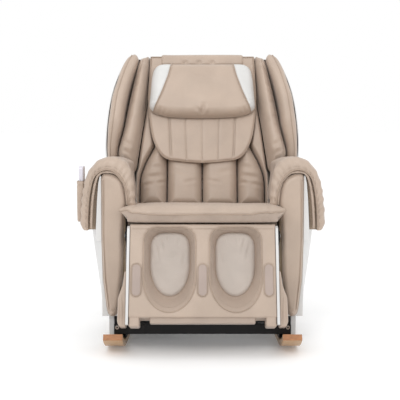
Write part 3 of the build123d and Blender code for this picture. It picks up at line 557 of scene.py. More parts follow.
def lumbar_pads():
    """Two tall pads side by side on each half of the backrest."""
    inner = [(1.2, -40), (133.5, -40), (133.5, 545), (1.2, 545)]
    outer = [(192, 545), *LUMBAR_EDGE, (239, -40), (136.5, -40), (136.5, 545)]

    def sag(seed, creases):
        return lambda p, d: 1.6 * ripple(p, 160, seed) * smooth(d / 30) + folds(p, creases)

    inner_creases = [((20, 62), (70, 52), 6, 2.0), ((60, 90), (125, 104), 8, 1.6)]
    outer_creases = [
        ((140, 118), (205, 106), 9, 3.0), ((145, 82), (225, 70), 8, 4.0), ((150, 150), (190, 146), 9, 2.0),
        ((138, 60), (170, 50), 6, 4.5), ((190, 48), (236, 40), 7, 3.5),
    ]
    pads = (("inner", inner, inner_creases, 34), ("outer", outer, outer_creases, 40))
    for side, seed in (("left", 3), ("right", 11)):
        for where, shape, creases, edge in pads:
            parts = cushion(shape, back, 4, 59, LEATHER, edge=edge, wall=0.15, puff=3,
                            relief=sag(seed, creases), rows=150, cols=56)
            parts = parts if side == "left" else mirrored(parts)
            piece(f"lumbar_pad_{where}_{side}", parts, "backrest")


def side_strips():
    """The narrow pads between the lumbar pads and the shoulder cushions."""
    inner = [(x + 2.5, v) for x, v in LUMBAR_EDGE]
    shape = [(203, 500), (199, 400), *inner, (241, -40), (255, -40), (255, 92), (249, 110), (244, 161),
             (232, 256), (216, 371), (209, 450)]

    parts = cushion(shape, back, 4, 57, LEATHER, edge=13, wall=0.3, rows=140, cols=24,
                    relief=lambda p, d: 1.0 * ripple(p, 90, 5) * smooth(d / 12))
    piece("side_strips", parts + mirrored(parts), "backrest")


DRAPE = [(202, 558), (205, 470), (208, 380), (202, 300), (184, 211), (146, 150), (82, 134), (0, 128)]
# Its seams, (x, v, x, v); those off the middle are on both sides.
DRAPE_LINES = [(141, 552, 122, 150), (136, 552, 117, 148), (72, 552, 60, 136), (0, 552, 0, 132)]


def back_drape():
    """The thin leather layer over the backrest's upper half, with its rows of stitching."""
    side = spline(DRAPE, 60)
    shape = np.vstack([side, side[-2::-1] * [-1, 1]])
    lines = [(k * a, b, k * c, d) for a, b, c, d in DRAPE_LINES for k in ((1, -1) if a else (1,))]

    def relief(p, d):
        lift = 1.4 * ripple(p, 210, 4) - 6 * smooth((p[..., 1] - 512) / 14)
        for x0, v0, x1, v1 in lines:
            off = distance(p, [(x0, v0), (x1, v1)], closed=False)
            lift = lift - 2.6 * bell(off, 3.2) * smooth(d / 6)
        return lift

    parts = cushion(shape, back, 63, 79, LEATHER, edge=9, wall=0.35, puff=1.5, relief=relief, rows=150,
                    cols=150, welt=(2.6, 0.55, PIPING))
    t = np.linspace(0.02, 0.98, 60)
    for x0, v0, x1, v1 in lines:
        row = np.stack([x0 + (x1 - x0) * t, v0 + (v1 - v0) * t], -1)
        parts.append(stitches(back(row[:, 0], row[:, 1], 78.4 + 1.4 * ripple(row, 210, 4)), THREAD))
    piece("back_drape", parts, "backrest")


PILLOW = [(0, 515.5), (90, 515.5), (148, 515.5), (172, 508.5), (188, 490), (196, 450), (200, 391), (203, 347),
          (196, 330), (174, 317), (128, 306), (60, 302), (0, 301)]
PILLOW_LOW, PILLOW_HIGH, PILLOW_EDGE, PILLOW_WALL = 83, 130, 30, 0.22
PILLOW_CREASES = [
    ((-4, 301), (8, 341), 7, 6), ((-2, 311), (-26, 329), 6, 2.5),
    ((-168, 303), (-158, 329), 5, 3.5), ((-148, 302), (-142, 323), 5, 2.5), ((-192, 356), (-178, 361), 5, 2.5),
    ((168, 303), (158, 329), 5, 3.5), ((148, 302), (142, 323), 5, 2.5), ((192, 356), (178, 361), 5, 2.5),
]
# Where each white corner is sewn to the middle, from the top down.
CORNER_SEAM = [(119, 517), (124, 490), (131, 459), (153, 398), (176, 345), (187, 323)]


def pillow():
    """The head pillow: a taupe middle, white corners and a piped seam between them."""
    side = spline(PILLOW, 90)
    shape = np.vstack([side, side[-2:0:-1] * [-1, 1]])

    def seam_x(v):
        x, at = np.array(CORNER_SEAM[::-1]).T
        return np.interp(v, at, x)

    def is_white(p):
        return np.abs(p[..., 0]) > seam_x(p[..., 1])

    def relief(p, d):
        x, v = p[..., 0], p[..., 1]
        lift = 5 * smooth(d / 70) + 1.2 * ripple(p, 120, 2) * smooth(d / 25)
        lift = lift - 3.4 * bell(np.abs(x) - seam_x(v), 4.5) * smooth(d / 8)
        gathers = np.sin(x / 5.5 + 1.5 * np.sin(x / 23)) * bell(v - 303, 12)
        return lift + folds(p, PILLOW_CREASES) + 0.9 * gathers * smooth(d / 5)

    def height(p):
        d = distance(p, shape)
        return stuffed(d, PILLOW_LOW, PILLOW_HIGH, PILLOW_EDGE, PILLOW_WALL) + relief(p, d)

    parts = cushion(shape, back, PILLOW_LOW, PILLOW_HIGH, LEATHER, edge=PILLOW_EDGE, wall=PILLOW_WALL,
                    relief=relief, rows=130, cols=170, other=(is_white, WHITE_LEATHER),
                    welt=(2.4, 0.24, PIPING))
    for k in (-1, 1):
        seam = spline(CORNER_SEAM, 50) * [k, 1]
        parts.append(tube(back(seam[:, 0], seam[:, 1], height(seam) + 1.6), 1.9, PIPING))
        row = seam - [k * 7, 0]
        parts.append(stitches(back(row[:, 0], row[:, 1], height(row) + 0.3)[2:-2], THREAD))
    piece("pillow", parts, "pillow")


def top_cover():
    """The roll over the top of the backrest, with three dimples in its front."""
    profile = spline([(76, 524), (81, 528), (81, 548), (76, 562), (58, 572), (20, 576), (-20, 573), (-52, 570),
                      (-60, 563), (-40, 556), (56, 552), (73, 540)], 90, closed=True)
    middle = profile.mean(0)
    half = 162
    ends = [(-half, 0.72), (-half + 1.5, 0.86), (-half + 5, 0.96)]
    stations = ends + [(x, 1.0) for x in np.linspace(-half + 10, half - 10, 120)]
    stations += [(-x, scale) for x, scale in ends[::-1]]
    w, v = np.moveaxis(np.array([between(middle, profile, scale) for _, scale in stations]), -1, 0)
    x = np.array([[x] for x, _ in stations]) + np.zeros_like(v)
    front = smooth((w - 30) / 40)
    for at in (-66, -12, 40):
        w = w - 6 * bell(x - at, 11) * bell(v - 534, 8) * front
    v = v + 1.4 * ripple(np.stack([x, w], -1), 120, 9) * smooth((v - 556) / 14)
    parts = [(back(x, v, w), capped(*x.shape), LEATHER)]
    piece("top_cover", parts, "backrest")


SHOULDER = [(205, 556), (211, 450), (219, 371), (236, 256), (249, 161), (257, 112), (268, 105), (296, 122),
            (315, 141), (324, 165), (319, 199), (302, 274), (285, 371), (266, 469), (248, 548), (226, 562)]


SHOULDER_LOW, SHOULDER_EDGE, SHOULDER_WALL = 10, 34, 0.3
SHOULDER_CREASES = [
    ((302, 205), (268, 180), 8, 4), ((306, 176), (276, 150), 7, 3), ((292, 300), (262, 318), 9, 2.5),
    ((284, 352), (262, 372), 7, 2), ((262, 150), (250, 190), 7, 2.5), ((272, 430), (240, 445), 8, 1.8),
]


def shoulder_cushions():
    """The deep cushions beside the back, with a line of stitches round their outer edge."""
    shape = spline(SHOULDER, 220, closed=True)

    def front(p):
        return np.interp(p[..., 1], [96, 175, 300, 515, 566], [86, 112, 115, 110, 90])

    def relief(p, d):
        x, v = p[..., 0], p[..., 1]
        lift = 1.8 * ripple(p, 130, 12) * smooth(d / 24)
        outer = np.interp(v, [104, 143, 165, 199, 274, 371, 469, 524],
                          [262, 315, 324, 319, 302, 285, 265, 245])
        off = outer - x
        lift = lift - 4.0 * bell(off - 11, 3.5) * smooth((v - 120) / 20)
        pucker = np.sin(v / 4.4 + 1.3 * np.sin(v / 31)) * bell(off - 20, 10)
        lift = lift + 1.0 * pucker * smooth((v - 110) / 20)
        return lift + folds(p, SHOULDER_CREASES)

    parts = cushion(shape, back, SHOULDER_LOW, front, LEATHER, edge=SHOULDER_EDGE, wall=SHOULDER_WALL, puff=3,
                    relief=relief, rows=190, cols=84, welt=(3.0, 0.34, PIPING))
    row = resample(shape, 240, closed=True)
    row = row[(row[:, 0] > np.interp(row[:, 1], [104, 540], [262, 228])) & (row[:, 1] < 520)]
    centre = np.array([np.interp(row[:, 1], [104, 524], [285, 226]), row[:, 1]]).T
    row = row - 8 * (row - centre) / (np.linalg.norm(row - centre, axis=1)[:, None] + 1)
    row = row[np.argsort(np.arctan2(row[:, 1] - 300, row[:, 0] - 100))]
    d = distance(row, shape)
    height = stuffed(d, SHOULDER_LOW, front(row), SHOULDER_EDGE, SHOULDER_WALL) + relief(row, d) + 1.0
    parts.append(stitches(back(row[:, 0], row[:, 1], height), THREAD, 4.0, 2.5, 0.8))
    pair("shoulder_cushion", parts, "backrest")


# Sections of a wing, from the bottom up: v, inner and outer x, rear and front w.
WING = [(128, 330, 359, 20, 66), (160, 325, 364, 12, 90), (200, 320, 364, 8, 110), (265, 305, 360, 5, 135),
        (330, 296, 353, 5, 144), (391, 286, 343, 5, 148), (470, 267, 321, 8, 138), (510, 256, 308, 16, 125),
        (540, 250, 294, 30, 112), (563, 250, 277, 48, 98)]


def wings():
    """The padded leather sides of the hood: long thin leaves with a rounded front edge."""
    stations = spline(WING, 120)
    turn = np.linspace(0, 2 * math.pi, 64, endpoint=False)
    c, s = np.cos(turn), np.sin(turn)
    rings = []
    for k, (v, inner, outer, rear, front) in enumerate(stations):
        end = min(k, len(stations) - 1 - k) / 9
        fade = math.sqrt(max(1 - (1 - min(end, 1)) ** 2, 0.03))
        x = (inner + outer) / 2 + (outer - inner) / 2 * np.sign(c) * np.abs(c) ** 0.7 * fade
        w = (rear + front) / 2 + (front - rear) / 2 * np.sign(s) * np.abs(s) ** 0.55 * (0.5 + 0.5 * fade)
        lift = 1.0 * ripple(np.stack([w, np.full_like(w, v)], -1), 110, 8)
        rings.append(back(x + lift * np.sign(c), v, w))
    parts = [(np.array(rings), capped(len(rings), len(turn)), LEATHER)]
    edge = stations[4:-4]
    front_line = back((edge[:, 1] + edge[:, 2]) / 2 + 7, edge[:, 0], edge[:, 4] - 0.5)
    parts.append(tube(front_line, 2.2, PIPING))
    pair("wing", parts, "backrest")


# ---------------------------------------------------------------- arms
# An armrest's section from the front, (x, z): its outside, its arch, and where it lies against the frame.
SADDLE_OUTER = [(226, 482), (227, 514), (231, 550), (238, 589), (252, 622), (277, 642), (309, 649), (337, 644),
                (364, 627), (386, 595), (400, 551), (408, 505), (412, 460), (412, 430), (409, 410), (403, 402)]
SADDLE_ARCH = [(248.5, 482), (250, 504), (262, 551), (282, 583), (307, 600), (337, 600), (360, 583), (372, 556),
               (381, 504), (385, 450), (386, 402)]
SADDLE_INNER = [(260, 482), (261, 546), (268, 568), (287, 590), (310, 593), (343, 591), (350, 560), (358, 500),
                (362, 440), (363, 402)]
POCKET_Y, POCKET_Z = (-322, -238), 424
# The armrest's skin as it goes round its front: (which curve, share towards the next one, y).
# Curve 0 is against the frame, 1 the arch and 2 the outside. The first GUSSET_ROWS are the pleated gusset.
ARM_SKIN = [
    (0, 0, -312), (0, 0.25, -313), (0, 0.5, -314), (0, 0.8, -315), (1, 0, -318), (1, 0, -323), (1, 0, -328),
    (1, 0.02, -333), (1, 0.07, -337), (1, 0.14, -339.5), (1, 0.22, -340.5), (1, 0.32, -341), (1, 0.44, -341),
    (1, 0.56, -340.5), (1, 0.67, -339), (1, 0.77, -336.5), (1, 0.86, -333), (1, 0.93, -328.5), (1, 0.975, -323),
    (1, 1.0, -316),
]


GUSSET_ROWS, TOP_ROWS = 6, 70
ARCH_LENGTH = 620


def armrest(pocketed):
    """The thick pad draped over an arm: rounded front with a piped arch, pleated gusset inside the arch."""
    count = 220
    curves = [spline(line, count) for line in (SADDLE_INNER, SADDLE_ARCH, SADDLE_OUTER)]
    frame_side, arch, outside = curves
    along = np.linspace(0, 1, count)
    run = along * ARCH_LENGTH

    def strand(curve, y):
        return np.column_stack([curve[:, 0], np.full(count, y), curve[:, 1]])

    rows = [strand(between(curves[k], curves[min(k + 1, 2)], share), y) for k, share, y in ARM_SKIN]
    rows += [strand(outside, y) for y in np.linspace(-308, 34, TOP_ROWS)]
    rows += [strand(between(arch, outside, share), y) for share, y in ((0.97, 40), (0.88, 44), (0.7, 45))]
    rows += [strand(frame_side, y) for y in (45, 0, -150, -300)]
    grid = np.array(rows)
    grid[..., 0] += 22 * smooth((grid[..., 1] + 325) / 120) * smooth((262 - grid[..., 0]) / 30)
    grid[..., 2] -= 0.10 * smooth((grid[..., 1] + 250) / 300) * np.maximum(grid[..., 2] - 500, 0)

    # Swells and puckers over the top, along the outline's normal.
    out = np.column_stack([-np.gradient(outside[:, 1]), np.gradient(outside[:, 0])])
    out = out / np.linalg.norm(out, axis=1)[:, None]
    ends = smooth(along / 0.05) * smooth((1 - along) / 0.05)
    first, last = len(ARM_SKIN) - 9, len(ARM_SKIN) + TOP_ROWS - 2
    for r in range(first, last):
        y = grid[r, :, 1]
        sample = np.column_stack([run, y])
        swell = 2.2 * ripple(sample, 190, 21) + 0.8 * ripple(sample, 60, 22)
        pucker = 2.0 * np.sin(run / 7 + 1.2 * np.sin(along * 17)) * bell(y + 328, 11)
        lift = (swell + pucker) * ends * smooth((r - first) / 4)
        grid[r, :, 0] += out[:, 0] * lift
        grid[r, :, 2] += out[:, 1] * lift
    # Gathers round the front, and the pleats of the gusset.
    for r in range(8, 16):
        grid[r, :, 1] += 1.3 * np.sin(run / 5.5 + 1.5 * np.sin(along * 23)) * math.sin((r - 7) / 9 * math.pi)
    for r in range(1, GUSSET_ROWS + 1):
        pleat = np.abs(np.sin(run / 9 + np.sin(along * 11)))
        grid[r, :, 1] += 2.6 * (pleat - 0.5) * math.sin(r / (GUSSET_ROWS + 1) * math.pi)
    if pocketed:
        x, y, z = np.moveaxis(grid, -1, 0)
        hollow = smooth((y - POCKET_Y[0] + 4) / 4) * smooth((POCKET_Y[1] + 4 - y) / 4)
        hollow = hollow * smooth((z - POCKET_Z + 4) / 4)
        grid[..., 0] = x - np.maximum(x - 397.5, 0) * hollow

    total, split = len(grid), GUSSET_ROWS * (count - 1)
    tail = (total - 1) * count
    faces = quads(total, count)
    faces += [[tail + c, tail + c + 1, c + 1, c] for c in range(count - 1)]
    faces.append([r * count for r in range(total)])
    faces.append([r * count + count - 1 for r in range(total)][::-1])
    flat = grid.reshape(-1, 3)
    parts = [(flat, faces[split:], LEATHER), (flat, faces[:split], GUSSET)]
    parts.append(tube(strand(between(arch, outside, 0.10), -339.5), 3.0, PIPING))
    roll = strand(between(arch, frame_side, 0.42), -331 + 1.2 * np.sin(along * 60 + np.sin(along * 31)))
    parts.append(tube(roll[3:-3], 4.6, LEATHER, sides=12))
    parts.append(stitches(strand(between(arch, outside, 0.34), -341.6)[6:-6], THREAD))
    return parts


ARM_FRONT = [(316, 592), (292, 582), (279, 572), (271, 559), (266, 539), (261, 505), (260.5, 485), (266, 455),
             (269, 420), (270, 330), (272, 255), (280, 180), (289, 128), (295, 112), (306, 107), (318, 112),
             (324, 131), (336, 234), (340.5, 370), (340.5, 575), (336, 590)]
FRONT_LOW, FRONT_HIGH, FRONT_EDGE, FRONT_WALL = 0.5, 28, 15, 0.3


def arms():
    """The armrest pads, and the tall pads down the front of each arm."""
    pair("armrest_pad", armrest(False), "base", right=armrest(True))
    shape = rounded(ARM_FRONT, 12, 3)

    def relief(p, d):
        z = p[..., 1]
        outer = np.interp(z, [107, 131, 234, 370, 590], [310, 324, 336, 340, 339])
        groove = bell(outer - p[..., 0] - 9, 2.6) * smooth((z - 118) / 14) * smooth((585 - z) / 14)
        lift = 1.6 * ripple(p, 170, 31) * smooth(d / 14)
        return lift - 2.4 * groove + fold(p, (296, 128), (318, 124), 5, 2)

    parts = cushion(shape, arm_front, FRONT_LOW, FRONT_HIGH, LEATHER, edge=FRONT_EDGE, wall=FRONT_WALL,
                    relief=relief, rows=150, cols=50, welt=(2.4, 0.35, PIPING))
    z = np.arange(132, 576, 4)
    x = np.interp(z, [131, 234, 370, 580], [324, 336, 340, 340]) - 6
    d = distance(np.column_stack([x, z]), shape)
    height = stuffed(d, FRONT_LOW, FRONT_HIGH, FRONT_EDGE, FRONT_WALL) + 0.2
    parts.append(tube(arm_front(x, z, height), 1.8, PIPING))
    pair("arm_front_pad", parts, "base")


def remote_pocket():
    """An open-topped pouch of doubled leather, hemmed at its mouth."""
    mouth, floor, wall = 565, 428, 2.0
    middle_x, against_arm = -413, -400.3
    turn = np.linspace(0, 2 * math.pi, 72, endpoint=False)
    c, s = np.cos(turn), np.sin(turn)

    def ring(z, inset, bulge):
        x = middle_x + (13 + bulge - inset) * np.sign(c) * np.abs(c) ** 0.35
        y = -280 + (36 - inset) * np.sign(s) * np.abs(s) ** 0.35
        return np.column_stack([np.minimum(x, against_arm), y, np.full(len(turn), z)])

    # Up the outside, and down the inside: (z, inset, bulge).
    outside = [(floor, 4, 0), (floor + 1, 1.5, 0), (floor + 4, 0, 0)]
    outside += [(z, 0, 0.9 * math.sin((z - floor) / (mouth - floor) * math.pi)) for z in range(436, 552, 6)]
    outside += [(553, 0, -0.8), (555, 0, -1.2), (557, 0, 0.2), (561, 0, 0.5), (564, 0, 0.2), (mouth, 0.8, 0)]
    inside_levels = [(z, wall, 0) for z in (mouth, mouth - 3, 520, 480, floor + 3)]
    rings = np.array([ring(*level) for level in outside + inside_levels])
    for r in rings[3:len(outside)]:
        r[:, 0] -= 0.35 * ripple(r[:, 1:], 45, 14) * (r[:, 0] < middle_x)
    parts = [(rings, capped(*rings.shape[:2]), LEATHER)]
    parts.append(tube(rings[len(outside) - 1] + [0, 0, 0.4], 1.3, PIPING, closed=True))
    parts.append(stitches(looped(ring(554, -0.5, -1.0)), THREAD, 3.5, 2.2, 0.6))
    piece("remote_pocket", parts, "base")


# ---------------------------------------------------------------- seat
SEAT_HALF, BETWEEN_ARMS = 273, 255
SEAT_RINGS, SEAT_AROUND = 180, 150
# Gathers along the lip, (x, width, depth, slant), and creases in the face under it, (x, slope, width, depth).
LIP_GATHERS = [
    (-205, 16, 3.0, -30), (-182, 9, 2.0, -18), (-120, 10, 2.2, -20), (-98, 8, 1.6, -10), (30, 9, 2.8, 26),
    (46, 9, 1.8, 18), (92, 13, 2.2, 28), (148, 11, 1.8, 12), (196, 9, 2.2, -16), (226, 8, 2.6, -22),
    (-236, 8, 2.6, 18),
]
FACE_CREASES = [
    (-96, 1.1, 7, 3.0), (-70, 1.3, 6, 2.2), (18, -1.5, 7, 3.2), (40, -1.7, 6, 2.4), (150, 0.9, 6, 1.6),
    (-190, 0.8, 6, 1.8), (238, -0.5, 6, 2.4), (-240, 0.5, 6, 2.4), (210, -0.8, 5, 1.6),
]


def seat_section(lip, top, fullness):
    """The seat cushion's section, (y, z) all round, for the heights of its lip and its top."""
    front, rise = -393 + 4 * (1 - fullness), top - lip
    return spline([
        (-300, 433), (-340, 431.5), (-376, 432 + 4 * (1 - fullness)), (-386, 438), (front + 3, 447),
        (front - 1, 455), (front - 2, lip), (front - 1, lip + 0.38 * rise),
        (front + 5 + 1.6 * fullness, lip + 0.68 * rise), (front + 19, lip + 0.9 * rise), (-345, top),
        (-250, top - 5 * fullness), (-120, top - 16 * fullness), (-40, top - 24 * fullness),
        (12, top - 30 * fullness), (33, 452), (38, 440), (38, 415), (36, 390), (20, 386), (-120, 386),
        (-270, 386), (-284, 392), (-293, 425),
    ], SEAT_AROUND, closed=True)


def seat_cushion():
    """The seat, with a gathered lip over its front and painted shade on the face under the lip."""
    xs = SEAT_HALF * np.sin(np.linspace(-1, 1, SEAT_RINGS) * math.pi / 2)
    u = np.abs(xs) / SEAT_HALF
    fullness = np.sqrt(np.clip(1 - u**7, 0, 1))
    lip = 457 + 17 * smooth((u - 0.5) / 0.45) + 2.0 * np.sin(xs / 75 + 0.6)
    crown = between(lip, 492, fullness)
    y, z = np.moveaxis(np.array([seat_section(*row) for row in zip(lip, crown, fullness)]), -1, 0)
    x = np.repeat(xs[:, None], SEAT_AROUND, 1)

    # Between the arms the cushion is narrower: its ends stop at the arm frames.
    excess = (np.abs(x) - BETWEEN_ARMS) * (1 - smooth((y + 352) / 8))
    x = np.where(np.abs(x) > BETWEEN_ARMS, np.sign(x) * (BETWEEN_ARMS + excess), x)
    flat = np.stack([x, y], -1)
    z = z + smooth((z - 466) / 16) * (2.2 * ripple(flat, 230, 41) + 1.0 * ripple(flat, 85, 42))
    reach = np.clip((y + 396) / 90, 0, 1)
    near = (1 - reach) ** 1.5 * smooth((z - 463) / 8)
    for_lip = (1.45 * depth * bell(x - at - slant * reach, width) for at, width, depth, slant in LIP_GATHERS)
    z = z - sum(for_lip) * near
    low = smooth((458 - z) / 6) * smooth((z - 434) / 4) * smooth((-340 - y) / 20)
    creases = sum(depth * bell(x - at - slope * (z - 448), width) for at, slope, width, depth in FACE_CREASES)
    y = y + low * (creases - 1.0 * ripple(np.stack([x, z * 2], -1), 70, 43))
    x = x * (1 - 0.085 * smooth((lip[:, None] - 2 - z) / 22) * smooth((-330 - y) / 20))
    tips = smooth((np.abs(x) - 254) / 18) * smooth((-380 - y) / 6)
    z = z + 3.5 * tips
    x = x + np.sign(x) * 3 * tips
    grid = np.stack([x, y, z], -1)

    # The welt follows the foremost point of each section, evened out over a few of them.
    welt = grid[np.arange(SEAT_RINGS), np.argmin(np.where(z > 455, y, 0), axis=1)]
    window = 7
    for axis in (1, 2):
        padded = np.pad(welt[:, axis], window // 2, mode="edge")
        welt[:, axis] = np.convolve(padded, np.ones(window) / window, "valid")
    # The faces below the welt at the front get the darker copy of the leather: painted shade under the lip.
    under_lip = ((z < welt[:, 2][:, None]) & (y < -300)).reshape(-1)
    faces = capped(SEAT_RINGS, SEAT_AROUND)
    light, dark = divided(faces, [under_lip[f].all() for f in faces])
    parts = [(grid, light, LEATHER), (grid, dark, SHADE), tube(welt - [0, 1.0, 0], 2.8, PIPING)]
    piece("seat_cushion", parts, "base")


# ---------------------------------------------------------------- legrest
WELL_X = 109
LEG_HALF, LEG_TOP, LEG_BOTTOM = 241, 4, -306
SLOT_XS, SLOT_BOTTOM, SLOT_TOP = (-217, 0, 217), -222, -146
# The back of the legrest's padding, (v, w) from the bottom up.
LEG_BACK = [(-306, -95.5), (-112, -95.5), (-100, -95.5), (-75, -75), (-16, -75), (4, -56)]


def well_outline(half, top, bottom, drop):
    """A well's edge: rounded corners at the top, and a bowl drop times as deep as it is half wide."""
    turn = np.linspace(0, -math.pi, 30)
    bowl = [(half * math.cos(a), bottom + drop * half * (1 + math.sin(a))) for a in turn]
    corners = [(-half, top - 45), (-half + 4, top - 26), (-half + 13, top - 13), (-half + 27, top - 4),
               (-half + 45, top)]
    return np.array(bowl + corners + [(-x, v) for x, v in corners[::-1]])


def slot_outline(x, radius, steps, trim=0.0):
    """The outline of a knit panel, or of the seam round it: two half circles and straight sides."""
    arc = np.linspace(trim, math.pi - trim, steps)
    upper = np.column_stack([x + radius * np.cos(arc), SLOT_TOP + radius * np.sin(arc)])
    lower = np.column_stack([x - radius * np.cos(arc), SLOT_BOTTOM - radius * np.sin(arc)])
    return np.vstack([upper, lower])


MOUTH = well_outline(86, -6, -289, 1.3)
FLOOR = well_outline(68, -15, -232, 1.6)
FLOOR_DEPTH = 60


def floor_depth(v):
    """How deep the floor of a well is: shallower towards its top."""
    return FLOOR_DEPTH - 15 * smooth((v + 90) / 80)


def well_share(p):
    """How far down a well's wall each point is: 0 at the mouth and 1 at the floor."""
    to_mouth, to_floor = distance(p, MOUTH), distance(p, FLOOR)
    return to_mouth / np.maximum(to_mouth + to_floor, 1e-6)


def well_height(v, share):
    return -floor_depth(v) * (0.5 * share + 0.5 * smooth(share))


def legrest_surface(grid):
    """The height of the padded front, and how far down a well's wall each of its points is."""
    x, v = grid[..., 0], grid[..., 1]
    w = -4 * (1 - dome((LEG_HALF - np.abs(x)) / 5))
    w -= 8 * (1 - dome((LEG_TOP - v) / 8))
    w -= 4 * (1 - dome((v - LEG_BOTTOM) / 6))
    down = np.zeros(v.shape)
    for centre in (-WELL_X, WELL_X):
        local = grid - [centre, 0]
        within = inside(local, MOUTH)
        share = np.where(inside(local, FLOOR), 1, well_share(local)) * within
        w = np.where(within, well_height(v, share), w)
        w = w - 1.6 * bell(distance(local, MOUTH), 5.5) * (~within)
        down = np.maximum(down, share)
    for slot_x in SLOT_XS:
        off = distance(grid, [(slot_x, SLOT_BOTTOM), (slot_x, SLOT_TOP)], closed=False)
        w = w - 2.0 * smooth((18.5 - off) / 4)
    return w + 0.7 * ripple(grid, 150, 51) * (down < 0.02), down


def legrest_body():
    """The calf rest: a padded block with two wells, a flap and two tabs along its lower edge."""
    xs = np.linspace(-LEG_HALF, LEG_HALF, 260)
    vs = np.concatenate([
        np.linspace(LEG_BOTTOM, LEG_BOTTOM + 8, 5)[:-1], np.linspace(LEG_BOTTOM + 8, LEG_TOP - 10, 150),
        np.linspace(LEG_TOP - 10, LEG_TOP, 8)[1:],
    ])
    grid = np.stack(np.meshgrid(xs, vs), -1)
    rows, cols = grid.shape[:2]
    w, down = legrest_surface(grid)
    front = leg(grid[..., 0], grid[..., 1], w)
    loop, sides = skirting(rows, cols)
    rim = grid.reshape(-1, 2)[loop]
    back_v, back_w = np.array(LEG_BACK).T
    behind = leg(rim[:, 0], rim[:, 1], np.interp(rim[:, 1], back_v, back_w))
    points = np.vstack([front.reshape(-1, 3), behind])
    on_wall = (down[:-1, :-1] + down[1:, 1:]) / 2 > 0.04
    rest, walls = divided(quads(rows, cols), on_wall.reshape(-1))
    # The wells' walls get the slightly darker copy of the leather: painted shade in the recesses.
    parts = [(points, rest + sides, LEATHER), (points, walls, WELL)]
    # The back is closed by strips across, with a slot for the actuator's lever in the middle.
    for x0, x1, levels in ((-LEG_HALF, -20, slice(1, None)), (20, LEG_HALF, slice(1, None)),
                           (-LEG_HALF, LEG_HALF, slice(2))):
        sheet = np.stack([leg(x, back_v[levels], back_w[levels]) for x in (x0, x1)])
        parts.append((sheet, quads(*sheet.shape[:2]), LEATHER))

    edge = resample(MOUTH, 200, closed=True)
    row = resample(well_outline(80, -9, -272, 1.4), 220, closed=True)
    row_w = well_height(row[:, 1], well_share(row)) + 0.8
    for centre in (-WELL_X, WELL_X):
        parts.append(tube(leg(edge[:, 0] + centre, edge[:, 1], -0.6), 2.3, PIPING, closed=True))
        parts.append(stitches(looped(leg(row[:, 0] + centre, row[:, 1], row_w)), THREAD, 3.5, 2.5, 0.6))
    for x in SLOT_XS:
        ring = resample(slot_outline(x, 19, 14), 90, closed=True)
        parts.append(stitches(looped(leg(ring[:, 0], ring[:, 1], 0.35)), THREAD, 3.2, 2.0, 0.6))
    seam = np.linspace(-LEG_HALF + 8, LEG_HALF - 8, 120)
    parts.append(tube(leg(seam, -13.0, -0.2), 1.1, PIPING))
    # The flap faces down, so it takes the darker copy of the leather: painted shade.
    flap = rounded([(-172, -325), (172, -325), (172, -300), (-172, -300)], 5)
    parts += cushion(flap, leg, -40, -9, SHADE, edge=4, wall=0.7, rows=24, cols=120,
                     relief=lambda p, d: 1.2 * ripple(p, 60, 52) * smooth(d / 5))
    for k in (1, -1):
        tab = rounded([(k * 205, -336), (k * 240, -336), (k * 240, -300), (k * 205, -300)], 7)
        parts += cushion(tab, leg, -60, -3, LEATHER, edge=5, wall=0.8, rows=30, cols=30)
    piece("legrest_body", parts, "legrest")


# Creases of a liner, as (start, end, width, depth) from the middle of its well.
LINER_CREASES = [
    ((-30, -34), (-26, -62), 4, 2.0), ((4, -32), (8, -54), 4, 2.0), ((34, -36), (24, -80), 5, 3.0),
    ((46, -60), (38, -110), 5, 2.5), ((-50, -80), (-44, -120), 5, 1.5), ((18, -34), (16, -50), 3, 1.6),
]


def calf_liners():
    """The soft lining of each well's floor, gathered at its seam."""
    def bedded(x, v, w):
        return leg(x, v, w + FLOOR_DEPTH - floor_depth(v))

    parts = []
    for centre, side, seed in ((-WELL_X, -1, 61), (WELL_X, 1, 62)):
        def relief(p, d, centre=centre, side=side, seed=seed):
            lift = 1.5 * ripple(p, 70, seed) * smooth(d / 16)
            lift = lift + folds((p - [centre, 0]) * [side, 1], LINER_CREASES)
            angle = np.arctan2(p[..., 1] + 130, p[..., 0] - centre)
            return lift + 0.5 * np.sin(angle * 62) * bell(d - 5, 3.5)

        shape = well_outline(66, -17, -229, 1.6) + [centre, 0]
        parts += cushion(shape, bedded, -FLOOR_DEPTH - 1, -51, LINER, edge=12, wall=0.05, relief=relief,
                         rows=90, cols=70, welt=(1.8, 0.1, PIPING))
    piece("calf_liners", parts, "legrest")


def knit_panels():
    """The three knitted panels set into the front of the calf rest."""
    parts = []
    for x in SLOT_XS:
        shape = slot_outline(x, 14.8, 16, trim=0.001)
        parts += cushion(shape, leg, -3, 1.4, KNIT, edge=6, wall=0.2, puff=0.8, rows=60, cols=24,
                         welt=(1.3, 0.55, PIPING))
    piece("knit_panels", parts, "legrest")


def legrest_skirts():
    """The leather that hangs down each side of the calf rest."""
    shape = [(250.5, -150), (258, -152), (264, -200), (278, -240), (279, -318), (272, -334), (250.5, -334)]

    creases = [((262, -230), (258, -330), 3, 2.5), ((270, -250), (269, -328), 3, 2.0)]
    parts = cushion(rounded(shape, 6), leg, -69, -19, LEATHER, edge=5, wall=0.85,
                    relief=lambda p, d: folds(p, creases), rows=80, cols=24)
    piece("legrest_skirts", parts + mirrored(parts), "legrest")


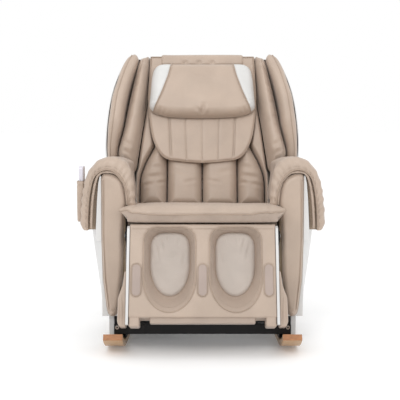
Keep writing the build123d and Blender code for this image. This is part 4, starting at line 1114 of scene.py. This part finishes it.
# ---------------------------------------------------------------- stage
def stage():
    """A pale floor, a white world and three soft lamps."""
    bpy.ops.mesh.primitive_plane_add(size=200)
    floor = bpy.context.object
    floor.name = "floor"
    material, shader = new_material("pale_floor", (0.93, 0.93, 0.93), 0.9)
    shader.inputs["Specular IOR Level"].default_value = 0.1
    shader.inputs["Emission Color"].default_value = (1, 1, 1, 1)
    shader.inputs["Emission Strength"].default_value = 0.12
    n = Nodes(material)
    n.link(n.ramp(n.noise(3, 3), (0.92, 0.92, 0.92), (0.95, 0.95, 0.95)), shader.inputs["Base Color"])
    floor.data.materials.append(material)
    world = bpy.data.worlds.new("studio")
    world.use_nodes = True
    world.node_tree.nodes["Background"].inputs["Color"].default_value = (1, 1, 1, 1)
    world.node_tree.nodes["Background"].inputs["Strength"].default_value = 1.0
    bpy.context.scene.world = world
    bpy.context.scene.view_settings.view_transform = "Standard"

    def lamp(name, place, target, power, size, spread):
        data = bpy.data.lights.new(name, "AREA")
        data.energy, data.size, data.spread = power, size, math.radians(spread)
        obj = bpy.data.objects.new(name, data)
        bpy.context.scene.collection.objects.link(obj)
        obj.location = place
        obj.rotation_euler = (Vector(target) - obj.location).to_track_quat("-Z", "Y").to_euler()

    lamp("key", (-0.9, -3.0, 2.6), (0, 0, 0.9), 3.3, 1.4, 52)
    lamp("fill", (1.4, -2.9, 2.0), (0, 0, 0.85), 1.3, 1.8, 60)
    lamp("top", (0, -0.3, 3.2), (0, 0, 0.5), 1.2, 1.8, 100)


def camera():
    """The photo's camera."""
    data = bpy.data.cameras.new("camera")
    data.sensor_width = 36
    data.lens = 884 / 400 * data.sensor_width
    obj = bpy.data.objects.new("camera", data)
    bpy.context.scene.collection.objects.link(obj)
    obj.location = (-0.0086, -3.300, 0.750)
    obj.rotation_euler = (math.radians(90 - 4.74), 0, 0)
    bpy.context.scene.camera = obj


camera()
stage()
finish_nodes()
lumbar_pads()
side_strips()
back_drape()
pillow()
top_cover()
shoulder_cushions()
wings()
arms()
remote_pocket()
seat_cushion()
legrest_body()
calf_liners()
knit_panels()
legrest_skirts()
